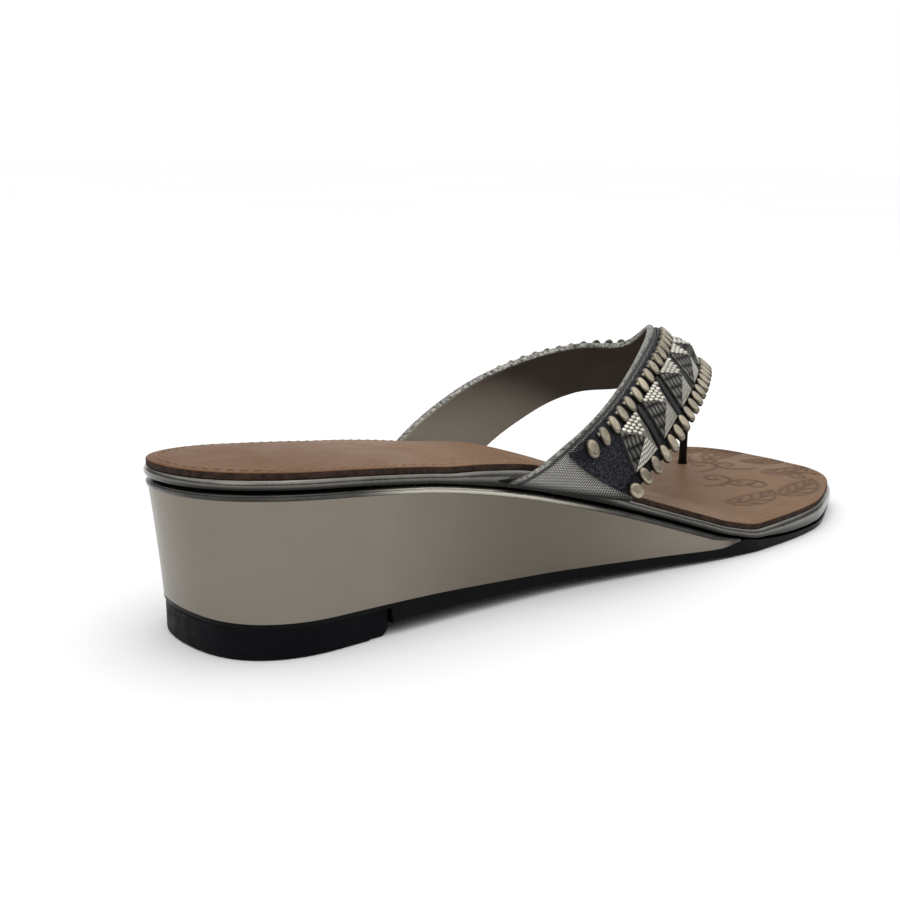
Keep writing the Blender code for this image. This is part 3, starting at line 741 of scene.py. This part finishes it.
# t, back edge x y z, front edge x y z, bow between them
STRAP_ROWS = (
    (-1.0, 81.0, -32.2, 33.6, 121.5, -39.3, 23.8, -1.0),
    (-0.9, 92.6, -32.4, 36.8, 126.4, -38.6, 29.0, 0.0),
    (-0.8, 104.6, -31.4, 42.0, 135.0, -37.6, 33.0, 0.6),
    (-0.6, 126.0, -24.7, 49.1, 154.0, -30.6, 41.0, 0.8),
    (-0.4, 147.5, -14.5, 56.5, 173.2, -20.0, 46.2, 1.0),
    (-0.2, 167.2, -3.3, 62.2, 191.8, -5.7, 48.0, -0.6),
    (0.0, 180.3, 8.7, 63.3, 206.0, 8.6, 46.0, -1.0),
    (0.2, 177.2, 17.3, 56.9, 204.3, 21.2, 42.0, 0.8),
    (0.4, 160.8, 23.6, 56.9, 189.7, 29.5, 39.2, 1.2),
    (0.6, 138.0, 27.7, 53.2, 171.0, 33.8, 38.9, 1.2),
    (0.8, 114.5, 30.1, 45.3, 152.0, 36.1, 33.6, 0.6),
    (0.9, 101.5, 31.6, 37.8, 138.0, 36.4, 27.7, 0.0),
    (1.0, 88.4, 31.4, 28.6, 123.5, 35.2, 19.8, 0.0),
)
NEARBY_T = 0.02
strap_curves = [curve_through(STRAP_ROWS, i, steady=False) for i in range(1, 8)]


def strap_chord(t, w):
    row = [curve(t) for curve in strap_curves]
    back = np.stack(row[0:3], -1)
    front = np.stack(row[3:6], -1)
    return back + (front - back) * np.asarray(w)[..., None]


def strap_point(t, w, lift=0.0):
    """On the strap's outer face, t along it and w across it, lifted off it by a distance."""
    t, w, lift = np.broadcast_arrays(*(np.asarray(v, float) for v in (t, w, lift)))
    along = strap_chord(np.minimum(t + NEARBY_T, 1.0), w) - strap_chord(np.maximum(t - NEARBY_T, -1.0), w)
    across = strap_chord(t, np.ones_like(w)) - strap_chord(t, np.zeros_like(w))
    out = np.cross(across, along)
    out /= np.linalg.norm(out, axis=-1)[..., None]
    return strap_chord(t, w) + out * (strap_curves[6](t) * 4 * w * (1 - w) + lift)[..., None]


def round_edges(piece, width, segments, angle):
    """Rounds every edge that is sharper than an angle."""
    rims = piece.modifiers.new("rims", "BEVEL")
    rims.width = width * MM
    rims.segments = segments
    rims.limit_method = "ANGLE"
    rims.angle_limit = math.radians(angle)
    bpy.ops.object.modifier_apply(modifier="rims")


def strap_sheet(name, steps, where, wall, wall_side, rim, finishes):
    """A grid laid on the strap by where(u, v), given a wall and rounded rims; its UV map keeps u and v."""
    piece = start(bpy.ops.mesh.primitive_grid_add, x_subdivisions=steps[0], y_subdivisions=steps[1], size=1.0)
    piece.name = name
    flat = np.array([vert.co for vert in piece.data.vertices]) + 0.5
    piece.data.vertices.foreach_set("co", metres(where(flat[:, 0], flat[:, 1])).ravel())
    bpy.ops.object.mode_set(mode="EDIT")
    bpy.ops.mesh.select_all(action="SELECT")
    bpy.ops.mesh.flip_normals()
    bpy.ops.object.mode_set(mode="OBJECT")
    for finish in finishes:
        piece.data.materials.append(finish)
    shell = piece.modifiers.new("wall", "SOLIDIFY")
    shell.thickness = wall * MM
    shell.offset = wall_side
    shell.use_even_offset = True
    shell.material_offset = 1
    bpy.ops.object.modifier_apply(modifier="wall")
    round_edges(piece, rim, 4, 50.0)
    bpy.ops.object.shade_smooth_by_angle(angle=math.radians(50.0))
    return piece


# Plain weave of flat metallic threads, in millimetres of the strap's own surface.
weave, given, result = new_group("weave", (("Vector", "Vector"), ("Pitch", "Float")), ("Height",))
scaled = put(weave, "VectorMath", {"operation": "DIVIDE"}, in0=given["Vector"], in1=given["Pitch"])
axes = put(weave, "SeparateXYZ", Vector=scaled.outputs["Vector"]).outputs


def thread_round(socket):
    """Height across a thread, from 0 in the gap to 1 on its crest."""
    return reckon(weave, "ABSOLUTE", reckon(weave, "SINE", reckon(weave, "MULTIPLY", socket, math.pi)))


crossing = reckon(weave, "MULTIPLY", thread_round(axes["X"]), thread_round(axes["Y"]))
weave.links.new(crossing, result["Height"])


def woven(tree, laid, pitch):
    return put(tree, "Group", {"node_tree": weave}, Vector=laid, Pitch=pitch).outputs["Height"]


def strap_map(tree):
    """The strap's UV map, its share across the strap, and its share from the apex (0) to the feet (0.5)."""
    uv = put(tree, "UVMap").outputs["UV"]
    split = put(tree, "SeparateXYZ", Vector=uv).outputs
    return uv, split["Y"], reckon(tree, "ABSOLUTE", reckon(tree, "SUBTRACT", split["X"], 0.5))


cloth, tree = new_finish("pewter_weave_cloth", (200.0, 0.3, 0.48), Metallic=0.65)
uv, across, to_foot = strap_map(tree)
flat = put(tree, "Mapping", Vector=uv, Scale=STRAP_FLAT)
turned = put(tree, "Mapping", Vector=flat.outputs["Vector"],
             Rotation=(0.0, 0.0, math.radians(THREAD_TURN)))
threads = woven(tree, turned.outputs["Vector"], THREAD_PITCH)
# The threads' own pale colour with painted shade: where they dip between crossings the colour is painted
# nearly black.
yarn_and_gap_shade = blend(tree, ramp(tree, threads, 0.2, 0.75, kind="LINEAR"), (0.01, 0.01, 0.01), (0.58, 0.566, 0.515))
# Painted shade: a nearly black line along the back edge, just inside the piping.
shade_beside_piping = blend(tree, ramp(tree, across, 0.075, 0.1, 0.85, 0.0, "LINEAR"), yarn_and_gap_shade, (0.012, 0.012, 0.014))
twist = blend(tree, cloudy(tree, 900.0, -0.25, 1.2), (0.045, 0.044, 0.04), (0.4, 0.387, 0.35))
piping = blend(tree, ramp(tree, across, 0.03, 0.05, 1.0, 0.0, "LINEAR"), shade_beside_piping, twist)
# Painted shade: the last bit of each foot, where it tucks under the board, is painted nearly black.
painted_foot_shade = ramp(tree, to_foot, 0.482, 0.497, kind="LINEAR")
tint(tree, blend(tree, painted_foot_shade, piping, (0.01, 0.01, 0.01)))
bumped(tree, threads, 0.00016, 0.8)
lining, tree = new_finish("taupe_lining", 0.6, Specular_IOR_Level=0.15)
to_foot = strap_map(tree)[2]
# Painted shade: the lining is painted dark brown from the apex down most of each leg, where the strap shades
# it, and shows its own pale taupe only near the feet.
tone = clouded(tree, (0.06, 0.05, 0.041), (0.078, 0.066, 0.055), 60.0)
tint(tree, blend(tree, ramp(tree, to_foot, 0.3, 0.46), tone, (0.36, 0.34, 0.285)))
bumped(tree, cloudy(tree, 900.0), 0.00005)
strap_band = strap_sheet("strap_band", (180, 24), lambda u, v: strap_point(2 * u - 1, v), STRAP_WALL, -1.0,
                         STRAP_RIM, (cloth, lining))
fix(strap_band, (), "pewter_weave", "strap")

# Dark panel: a blue-black grained piece cemented on the strap, its ends cut on a slant just above the feet.
# It is thin and has no edge binding, so only its rim is rounded off.
OVERLAY_WALL = 0.7
PANEL_TOP = GAP + OVERLAY_WALL
OVERLAY_RIM = 0.3
OVERLAY_BACK = 0.10
OVERLAY_FRONT = 0.985
SLANT_START = 0.83
SLANT = 0.155
LAID_ON = 0.02


def panel_end(w):
    """How far along the strap the panel reaches at w."""
    return SLANT_START + SLANT * w


def panel_place(u, v):
    w = OVERLAY_BACK + (OVERLAY_FRONT - OVERLAY_BACK) * v
    return strap_point((2 * u - 1) * panel_end(w), w, LAID_ON)


navy, tree = new_finish("blue_black_panel", (300.0, 0.36, 0.55), Specular_IOR_Level=0.12)
skin = on_piece(tree, grain, Scale=2300.0)
speck = ramp(tree, skin["Fleck"], 0.47, 0.6, kind="LINEAR")
tint(tree, blend(tree, speck, (0.003, 0.0035, 0.006), (0.052, 0.054, 0.067)))
bumped(tree, skin["Height"], 0.00018, 0.8)
strap_panel = strap_sheet("strap_panel", (180, 20), panel_place, PANEL_TOP, 1.0, OVERLAY_RIM, (navy, navy))
fix(strap_panel, (), "dark_panel", "strap_overlay")

# Stud rows: long nailheads of dull antique metal, set side by side on a slant like the strands of a rope
# along both long edges of the panel and riveted through a black band. Those of the back row have a small bead
# at their upper end.
LEAN = 0.265
LEAN_FROM_T = 0.3
STUD_HEIGHT = 1.35
STUD_FLAT = 3.0
END_STUD = (0.95, 1.25, 1.0, 1.0)
RIM_SHARE = 0.7
BEAD_RADIUS = 0.7
BEAD_HEIGHT = 1.2
BEAD_ASIDE_T = 0.013
BEAD_REACH = 0.9
STUD_SLANT = 45.0
STRAP_WIDTH = 30.0
BAND_WALL = 0.35
BAND_END = 0.01
# name, w of the row's middle, pitch on the outer and on the inner leg, distance from the panel's end in t,
# half length and half width of a stud, band from w to w
STUD_ROWS = (
    ("back", 0.24, 5.9, 4.6, 0.023, 2.9, 1.65, 0.17, 0.31),
    ("front", 0.955, 5.3, 5.3, -0.012, 2.85, 1.65, 0.87, 0.98),
)


def lean(t):
    """Lean of a line across the strap towards the nearer foot, in t for each w; upright at the apex."""
    return math.copysign(LEAN * min(abs(t) / LEAN_FROM_T, 1.0), t)


def row_places(w, outer_pitch, inner_pitch, from_end):
    """Even steps of about one pitch along each leg at w, from the panel's slanted ends to the apex."""
    end = panel_end(w) - from_end
    places = []
    for leg_end, pitch in ((-end, outer_pitch), (end, inner_pitch)):
        ts = np.linspace(leg_end, 0.0, 401)
        run = run_along(strap_point(ts, np.full_like(ts, w), PANEL_TOP))
        count = int(round(run[-1] / pitch))
        places += list(np.interp((np.arange(count) + 0.5) * run[-1] / count, run, ts))
    return sorted(places)


def strap_frame(t, w, lift):
    """A place on the strap whose x runs along the lean and whose z points out."""
    here = strap_point(t, w, lift)
    ahead, behind = (strap_point(t + lean(t) * step, w + step, lift) for step in (NEARBY_T, -NEARBY_T))
    return placed(metres(here), ahead - behind, strap_point(t, w, lift + 1.0) - here)


def dome(radius, height, segments, rings, stretch=0.0, flat=2.0):
    """A nailhead from a sphere: lower half cut off and closed, crown flattened, rim marked for shading."""
    model = start(bpy.ops.mesh.primitive_uv_sphere_add, segments=segments, ring_count=rings,
                  radius=radius * MM)
    bpy.ops.object.mode_set(mode="EDIT")
    bpy.ops.mesh.select_all(action="SELECT")
    bpy.ops.mesh.bisect(plane_co=(0.0, 0.0, -0.1 * radius * MM), plane_no=(0.0, 0.0, 1.0), use_fill=True,
                        clear_inner=True)
    bpy.ops.object.mode_set(mode="OBJECT")
    rim = model.data.attributes.new("rim", "FLOAT", "POINT")
    for vert, mark in zip(model.data.vertices, rim.data):
        up = max(vert.co.z / (radius * MM), 0.0)
        mark.value = 1.0 - min(up / RIM_SHARE, 1.0)
        vert.co.z = height * MM * (1 - (1 - up) ** flat) if vert.co.z > 0.0 else vert.co.z
        vert.co.x *= 1.0 + stretch / radius
    bpy.ops.object.shade_smooth_by_angle(angle=math.radians(60.0))
    return model


def wear(tree, bright, patina):
    """Pale metal with dark patina left in its rims and hollows."""
    stained = reckon(tree, "MULTIPLY", marked(tree, "rim"), cloudy(tree, 300.0, 0.8, 1.3))
    metal = clouded(tree, [0.45 * c for c in bright], bright, 160.0)
    tint(tree, blend(tree, stained, metal, patina))


def capped(rings):
    """Rings with both ends drawn in to a point."""
    first, last = (np.tile(ring.mean(axis=0), (len(ring), 1)) for ring in (rings[0], rings[-1]))
    return [first, *rings, last]


antique, tree = new_finish("antique_nailhead", (700.0, 0.22, 0.38), Metallic=0.9)
wear(tree, (0.5, 0.44, 0.33), (0.03, 0.026, 0.021))
bumped(tree, cloudy(tree, 600.0), 0.00004)
black_band, tree = new_finish("black_band", 0.4, Specular_IOR_Level=0.2)
tint(tree, clouded(tree, (0.004, 0.004, 0.005), (0.01, 0.01, 0.012), 400.0))

bead_places = []
for label, row_w, *pitches, from_end, half_length, half_width, band_low, band_high in STUD_ROWS:
    stud_ts = row_places(row_w, *pitches, from_end)
    places = [strap_frame(t, row_w, PANEL_TOP + BAND_WALL) for t in stud_ts]
    for end in (0, -1):
        places[end] = places[end] @ Matrix.Diagonal(END_STUD)
    stud = dome(half_width, STUD_HEIGHT, 20, 12, half_length - half_width, STUD_FLAT)
    fix(scatter("studs_" + label, stud, places), (antique,), "antique_stud", "stud_row_" + label)
    row_end = panel_end(row_w) - BAND_END
    edges = ((band_low, LAID_ON), (band_low, BAND_WALL), (band_high, BAND_WALL), (band_high, LAID_ON))
    rings = [metres([strap_point(t, w, PANEL_TOP + lift) for w, lift in edges])
             for t in np.linspace(-row_end, row_end, 160)]
    fix(draw_rings("band_" + label, capped(rings), 30.0), (black_band,), "dark_panel")
    if label == "back":
        reach = BEAD_REACH * half_length * math.cos(math.radians(STUD_SLANT)) / STRAP_WIDTH
        for t in stud_ts[1:-1]:
            aside = math.copysign(BEAD_ASIDE_T, t)
            bead_places.append(strap_frame(t - lean(t) * reach + aside, row_w - reach, PANEL_TOP))
beads = scatter("studs_beads", dome(BEAD_RADIUS, BEAD_HEIGHT, 12, 8), bead_places)
fix(beads, (antique,), "antique_stud")

# Pyramids: four-sided plated tiles across the middle of the panel. The back side is set with bright dots, the
# side towards the strap's foot is dark and ribbed, the front side is finely knit and the last one is plain.
PYRAMID_PITCH_T = 0.152
PYRAMIDS_A_LEG = 5
PYRAMID_HALF_T = 0.053
PYRAMID_W = (0.345, 0.84)
PYRAMID_RIM = 1.2
PYRAMID_HEIGHT = 2.8
RIDGE_ROUND = 0.12
DOT_PITCH = 1.75
DOT_RADIUS = 0.88
DOT_HEIGHT = 0.55
DOT_ROW_PITCH = DOT_PITCH * 0.87
DOT_ROW_START = 0.45
DOT_ROW_SPARE = 0.3
DOT_OVERHANG = 0.7
# corners and middles of a tile's sides, round from the back: side along the strap, share across it
AROUND = ((-1, 0), (0, 0), (1, 0), (1, 0.5), (1, 1), (0, 1), (-1, 1), (-1, 0.5))


def tile_point(t, side, across, lift):
    """On a tile of the row: side -1 to 1 along the strap, across 0 to 1 from back to front."""
    skew = lean(t) * (PYRAMID_W[1] - PYRAMID_W[0])
    w = PYRAMID_W[0] + (PYRAMID_W[1] - PYRAMID_W[0]) * across
    return metres(strap_point(t + skew * (across - 0.5) + side * PYRAMID_HALF_T, w, PANEL_TOP + lift))


def patterned(name, colour, dark, roughness, pitch, stretch, depth):
    """Plated metal with ribs on a side, in millimetres of its own UV map."""
    made, tree = new_finish(name, (500.0, roughness - 0.08, roughness + 0.12), Metallic=1.0)
    uv = put(tree, "UVMap")
    laid = put(tree, "Mapping", Vector=uv.outputs["UV"], Scale=(1 / MM, stretch / MM, 1.0))
    ribs = woven(tree, laid.outputs["Vector"], pitch)
    tint(tree, blend(tree, ribs, dark, colour))
    bumped(tree, ribs, depth)
    return made


def pyramid_tile(name, t):
    """A cone of eight corners drawn to the tile's rim and tip, with its base extruded down to the panel."""
    foot_side = 3 if t <= 0 else 1
    tile = start(bpy.ops.mesh.primitive_cone_add, vertices=8, radius1=1.0, depth=1.0)
    tile.name = name
    bpy.ops.object.mode_set(mode="EDIT")
    mesh = bmesh.from_edit_mesh(tile.data)
    corner = mesh.verts.layers.int.new("corner")
    for vert in mesh.verts:
        eighth = int(round(math.atan2(vert.co.y, vert.co.x) / (math.pi / 4))) % 8
        vert[corner] = eighth if vert.co.z < 0 else -1
    bpy.ops.mesh.select_all(action="DESELECT")
    for face in mesh.faces:
        face.select = face.normal.z < -0.9
    mesh.select_flush(True)
    bpy.ops.mesh.extrude_region_move()
    mesh = bmesh.from_edit_mesh(tile.data)
    corner = mesh.verts.layers.int["corner"]
    uv_layer = mesh.loops.layers.uv.verify()
    for vert in mesh.verts:
        if vert[corner] < 0:
            vert.co = tile_point(t, 0.0, 0.5, PYRAMID_RIM + PYRAMID_HEIGHT)
        else:
            vert.co = tile_point(t, *AROUND[vert[corner]], 0.0 if vert.select else PYRAMID_RIM)
    for face in mesh.faces:
        marks = [vert[corner] for vert in face.verts]
        if -1 not in marks:
            face.material_index = 2
            continue
        ends = [k for k in marks if k >= 0]
        side = max(ends) // 2 if max(ends) - min(ends) > 1 else min(ends) // 2
        face.material_index = {0: 0, 2: 3}.get(side, 1 if side == foot_side else 2)
        a, b = (Vector(tile_point(t, *AROUND[k % 8], PYRAMID_RIM)) for k in (2 * side, 2 * side + 2))
        base = (b - a).normalized()
        for loop in face.loops:
            reach = loop.vert.co - a
            loop[uv_layer].uv = (reach.dot(base), (reach - base * reach.dot(base)).length)
    bmesh.update_edit_mesh(tile.data)
    bpy.ops.mesh.select_all(action="SELECT")
    bpy.ops.mesh.normals_make_consistent(inside=False)
    bpy.ops.object.mode_set(mode="OBJECT")
    round_edges(tile, RIDGE_ROUND, 2, 25.0)
    bpy.ops.object.shade_smooth_by_angle(angle=math.radians(12.0))
    return tile


def dot_places(t):
    """Rows of dots up the back side of a tile, as many in each as it has room for."""
    left, right = (Vector(tile_point(t, side, 0, PYRAMID_RIM)) for side in (-1, 1))
    tip = Vector(tile_point(t, 0, 0.5, PYRAMID_RIM + PYRAMID_HEIGHT))
    slope = (left + right) / 2
    rise = (tip - slope).length / MM
    out = (right - left).cross(tip - slope).normalized()
    if out.dot(slope - Vector(tile_point(t, 0, 0.5, 0.0))) < 0:
        out = -out
    places = []
    for row in range(int(rise / DOT_ROW_PITCH + DOT_ROW_SPARE)):
        up = (row + DOT_ROW_START) * DOT_ROW_PITCH / rise
        a, b = left.lerp(tip, up), right.lerp(tip, up)
        room = (b - a).length / MM
        count = int((room + DOT_OVERHANG) / DOT_PITCH)
        for k in range(count):
            spot = a.lerp(b, 0.5 + (k - (count - 1) / 2) * DOT_PITCH / room)
            places.append(placed(spot, right - left, out))
    return places


dot_ground, tree = new_finish("pyramid_dot_ground", 0.4, Metallic=1.0)
tint(tree, clouded(tree, (0.08, 0.077, 0.068), (0.2, 0.19, 0.165), 500.0))
bright_dot, tree = new_finish("pyramid_bright_dot", (400.0, 0.14, 0.3), Metallic=1.0)
wear(tree, (0.72, 0.685, 0.6), (0.1, 0.092, 0.076))
ribbed = patterned("pyramid_ribbed_side", (0.15, 0.144, 0.129), (0.01, 0.01, 0.01), 0.42, 3.4, 3.0, 0.0002)
knit = patterned("pyramid_knit_side", (0.85, 0.82, 0.73), (0.24, 0.228, 0.2), 0.3, 0.75, 0.6, 0.00014)
plain_side, tree = new_finish("pyramid_plain_side", (600.0, 0.26, 0.46), Metallic=1.0)
tint(tree, clouded(tree, (0.27, 0.255, 0.22), (0.42, 0.4, 0.35), 200.0))

for number in range(-PYRAMIDS_A_LEG, PYRAMIDS_A_LEG + 1):
    t = number * PYRAMID_PITCH_T
    label = "_%02d" % (number + PYRAMIDS_A_LEG + 1)
    tile = pyramid_tile("tile" + label, t)
    fix(tile, (dot_ground, ribbed, plain_side, knit), "pyramid_metal", "pyramid" + label)
    dots = scatter("dots" + label, dome(DOT_RADIUS, DOT_HEIGHT, 8, 6), dot_places(t))
    fix(dots, (bright_dot,), "pyramid_metal")

# Bars: raised ribs of glossy black between the pyramids, half round and laid along their skewed sides.
# They are cemented on the panel and run a little past the pyramids at both ends.
BAR_HALF = 1.15
BAR_HEIGHT = 1.2
BAR_PAST = 0.02


def bar_ring(t, across):
    """Half round of a bar at one place along it."""
    middle = tile_point(t, 0.0, across, 0.0)
    along = Vector(tile_point(t, 0.2, across, 0.0) - tile_point(t, -0.2, across, 0.0)).normalized()
    out = Vector(tile_point(t, 0.0, across, 1.0) - middle).normalized()
    turns = [(math.cos(a), math.sin(a)) for a in np.linspace(0.0, math.pi, 9)]
    return np.array([middle + along * BAR_HALF * MM * c + out * (BAR_HEIGHT * s + LAID_ON) * MM
                     for c, s in turns])


bars = []
for number in range(-PYRAMIDS_A_LEG, PYRAMIDS_A_LEG):
    t = (number + 0.5) * PYRAMID_PITCH_T
    rings = [bar_ring(t, across) for across in np.linspace(-BAR_PAST, 1.0 + BAR_PAST, 14)]
    bars.append(draw_rings("bar_%02d" % (number + PYRAMIDS_A_LEG + 1), capped(rings), 40.0))
gloss_black, tree = new_finish("gloss_black_bar", 0.28, Specular_IOR_Level=0.3)
tint(tree, clouded(tree, (0.003, 0.003, 0.004), (0.008, 0.008, 0.01), 300.0))
fix(joined("panel_bars", bars), (gloss_black,), "dark_panel")

# Toe post: a thin covered cord that comes up through the insole between the first two toes and is sewn into
# the strap's front edge from below. It widens a little where it enters the strap.
POST_RADIUS = 1.5
POST_WAIST = 0.92
POST_WIDER_TOP = 0.5
POST_WIDER_FOOT = 0.25
POST_TOP_T = 0.03
POST_TOP_W = 0.90
post_low = Vector(metres((*POST_FOOT, float(insole_edge_z(*POST_FOOT)) - INSOLE_EDGE)))
post_high = Vector(metres(strap_point(POST_TOP_T, POST_TOP_W, GAP - STRAP_WALL)))
post_axis = (post_high - post_low).normalized()
post_side = post_axis.cross(Vector((0.0, 1.0, 0.0))).normalized()
post_front = post_axis.cross(post_side)
post_rings = []
for s in np.linspace(0.0, 1.0, 24):
    radius = POST_RADIUS * (POST_WAIST + POST_WIDER_TOP * s ** 6 + POST_WIDER_FOOT * (1 - s) ** 12) * MM
    centre = post_low.lerp(post_high, s)
    post_rings.append(np.array([centre + (post_side * math.cos(a) + post_front * math.sin(a)) * radius
                                for a in np.linspace(0.0, 2 * math.pi, 21)[:-1]]))
post_cord = draw_rings("post_cord", capped(post_rings), 40.0)
dark_cord, tree = new_finish("dark_post_cord", 0.5, Specular_IOR_Level=0.2)
tint(tree, clouded(tree, (0.004, 0.0035, 0.0035), (0.012, 0.01, 0.009), 500.0))
bumped(tree, cloudy(tree, 1400.0), 0.0001)
fix(post_cord, (dark_cord,), "dark_cord", "toe_post")

# Studio: a pale floor in a room that is bright above and darker round the horizon, with a white backdrop on
# the far side of the shoe, two soft lights, and the camera at the photo's angle.
FLOOR_SIZE = 12.0
BACKDROP_TOWARDS = (0.698, 0.716, 0.0)
floor = start(bpy.ops.mesh.primitive_plane_add, size=FLOOR_SIZE)
floor.name = "studio_floor"
pale, tree = new_finish("pale_floor", 0.9, Specular_IOR_Level=0.0)
tint(tree, clouded(tree, (0.95, 0.95, 0.95), (0.97, 0.97, 0.97), 2.0))
floor.data.materials.append(pale)

world = bpy.data.worlds.new("studio")
bpy.context.scene.world = world
world.use_nodes = True
sky = world.node_tree
look = put(sky, "TexCoord").outputs["Generated"]
height = put(sky, "SeparateXYZ", Vector=look)
towards = put(sky, "VectorMath", {"operation": "DOT_PRODUCT"}, in0=look, in1=BACKDROP_TOWARDS)
ceiling = ramp(sky, height.outputs["Z"], 0.2, 0.65, 0.22, 1.2)
backdrop = ramp(sky, towards.outputs["Value"], 0.7, 0.9)
room = put(sky, "Mix", Factor=backdrop, A=ceiling, B=1.0)
sky.links.new(room.outputs["Result"], sky.nodes["Background"].inputs["Strength"])
sky.nodes["Background"].inputs["Color"].default_value = (1.0, 1.0, 1.0, 1.0)


def soft_box(name, place, size, power):
    """A square area light aimed at the shoe."""
    bpy.ops.object.light_add(type="AREA", location=place)
    lamp = bpy.context.object
    lamp.name = name
    lamp.data.size = size
    lamp.data.energy = power
    lamp.rotation_euler = Vector(place).to_track_quat("Z", "Y").to_euler()


soft_box("light_above", (0.1, -0.1, 1.1), 0.9, 1.6)
soft_box("light_side", (-0.9, -0.6, 0.7), 0.7, 1.0)

AZIMUTH = -44.29
ELEVATION = 13.709
ROLL = 0.986
DISTANCE = 0.39793
LOOK_AT = Vector((0.0017, 0.0, 0.025))
FOCAL_PIXELS = 1335.51
CENTRE_PIXELS = (542.58, 469.6)
IMAGE_PIXELS = 900
azimuth, elevation, roll = (math.radians(a) for a in (AZIMUTH, ELEVATION, ROLL))
back = Vector((math.sin(azimuth) * math.cos(elevation), -math.cos(azimuth) * math.cos(elevation),
               math.sin(elevation)))
level = (-back).cross(Vector((0.0, 0.0, 1.0))).normalized()
upright = level.cross(-back)
right = level * math.cos(roll) + upright * math.sin(roll)
up = upright * math.cos(roll) - level * math.sin(roll)
lens = bpy.data.cameras.new("camera")
lens.sensor_width = 36.0
lens.lens = FOCAL_PIXELS * lens.sensor_width / IMAGE_PIXELS
lens.shift_x = (IMAGE_PIXELS / 2 - CENTRE_PIXELS[0]) / IMAGE_PIXELS
lens.shift_y = (CENTRE_PIXELS[1] - IMAGE_PIXELS / 2) / IMAGE_PIXELS
lens.clip_start = 0.01
camera = bpy.data.objects.new("camera", lens)
bpy.context.scene.collection.objects.link(camera)
turn = Matrix((right, up, back)).transposed().to_4x4()
camera.matrix_world = Matrix.Translation(LOOK_AT + back * DISTANCE) @ turn
bpy.context.scene.camera = camera
bpy.context.scene.view_settings.view_transform = "Standard"
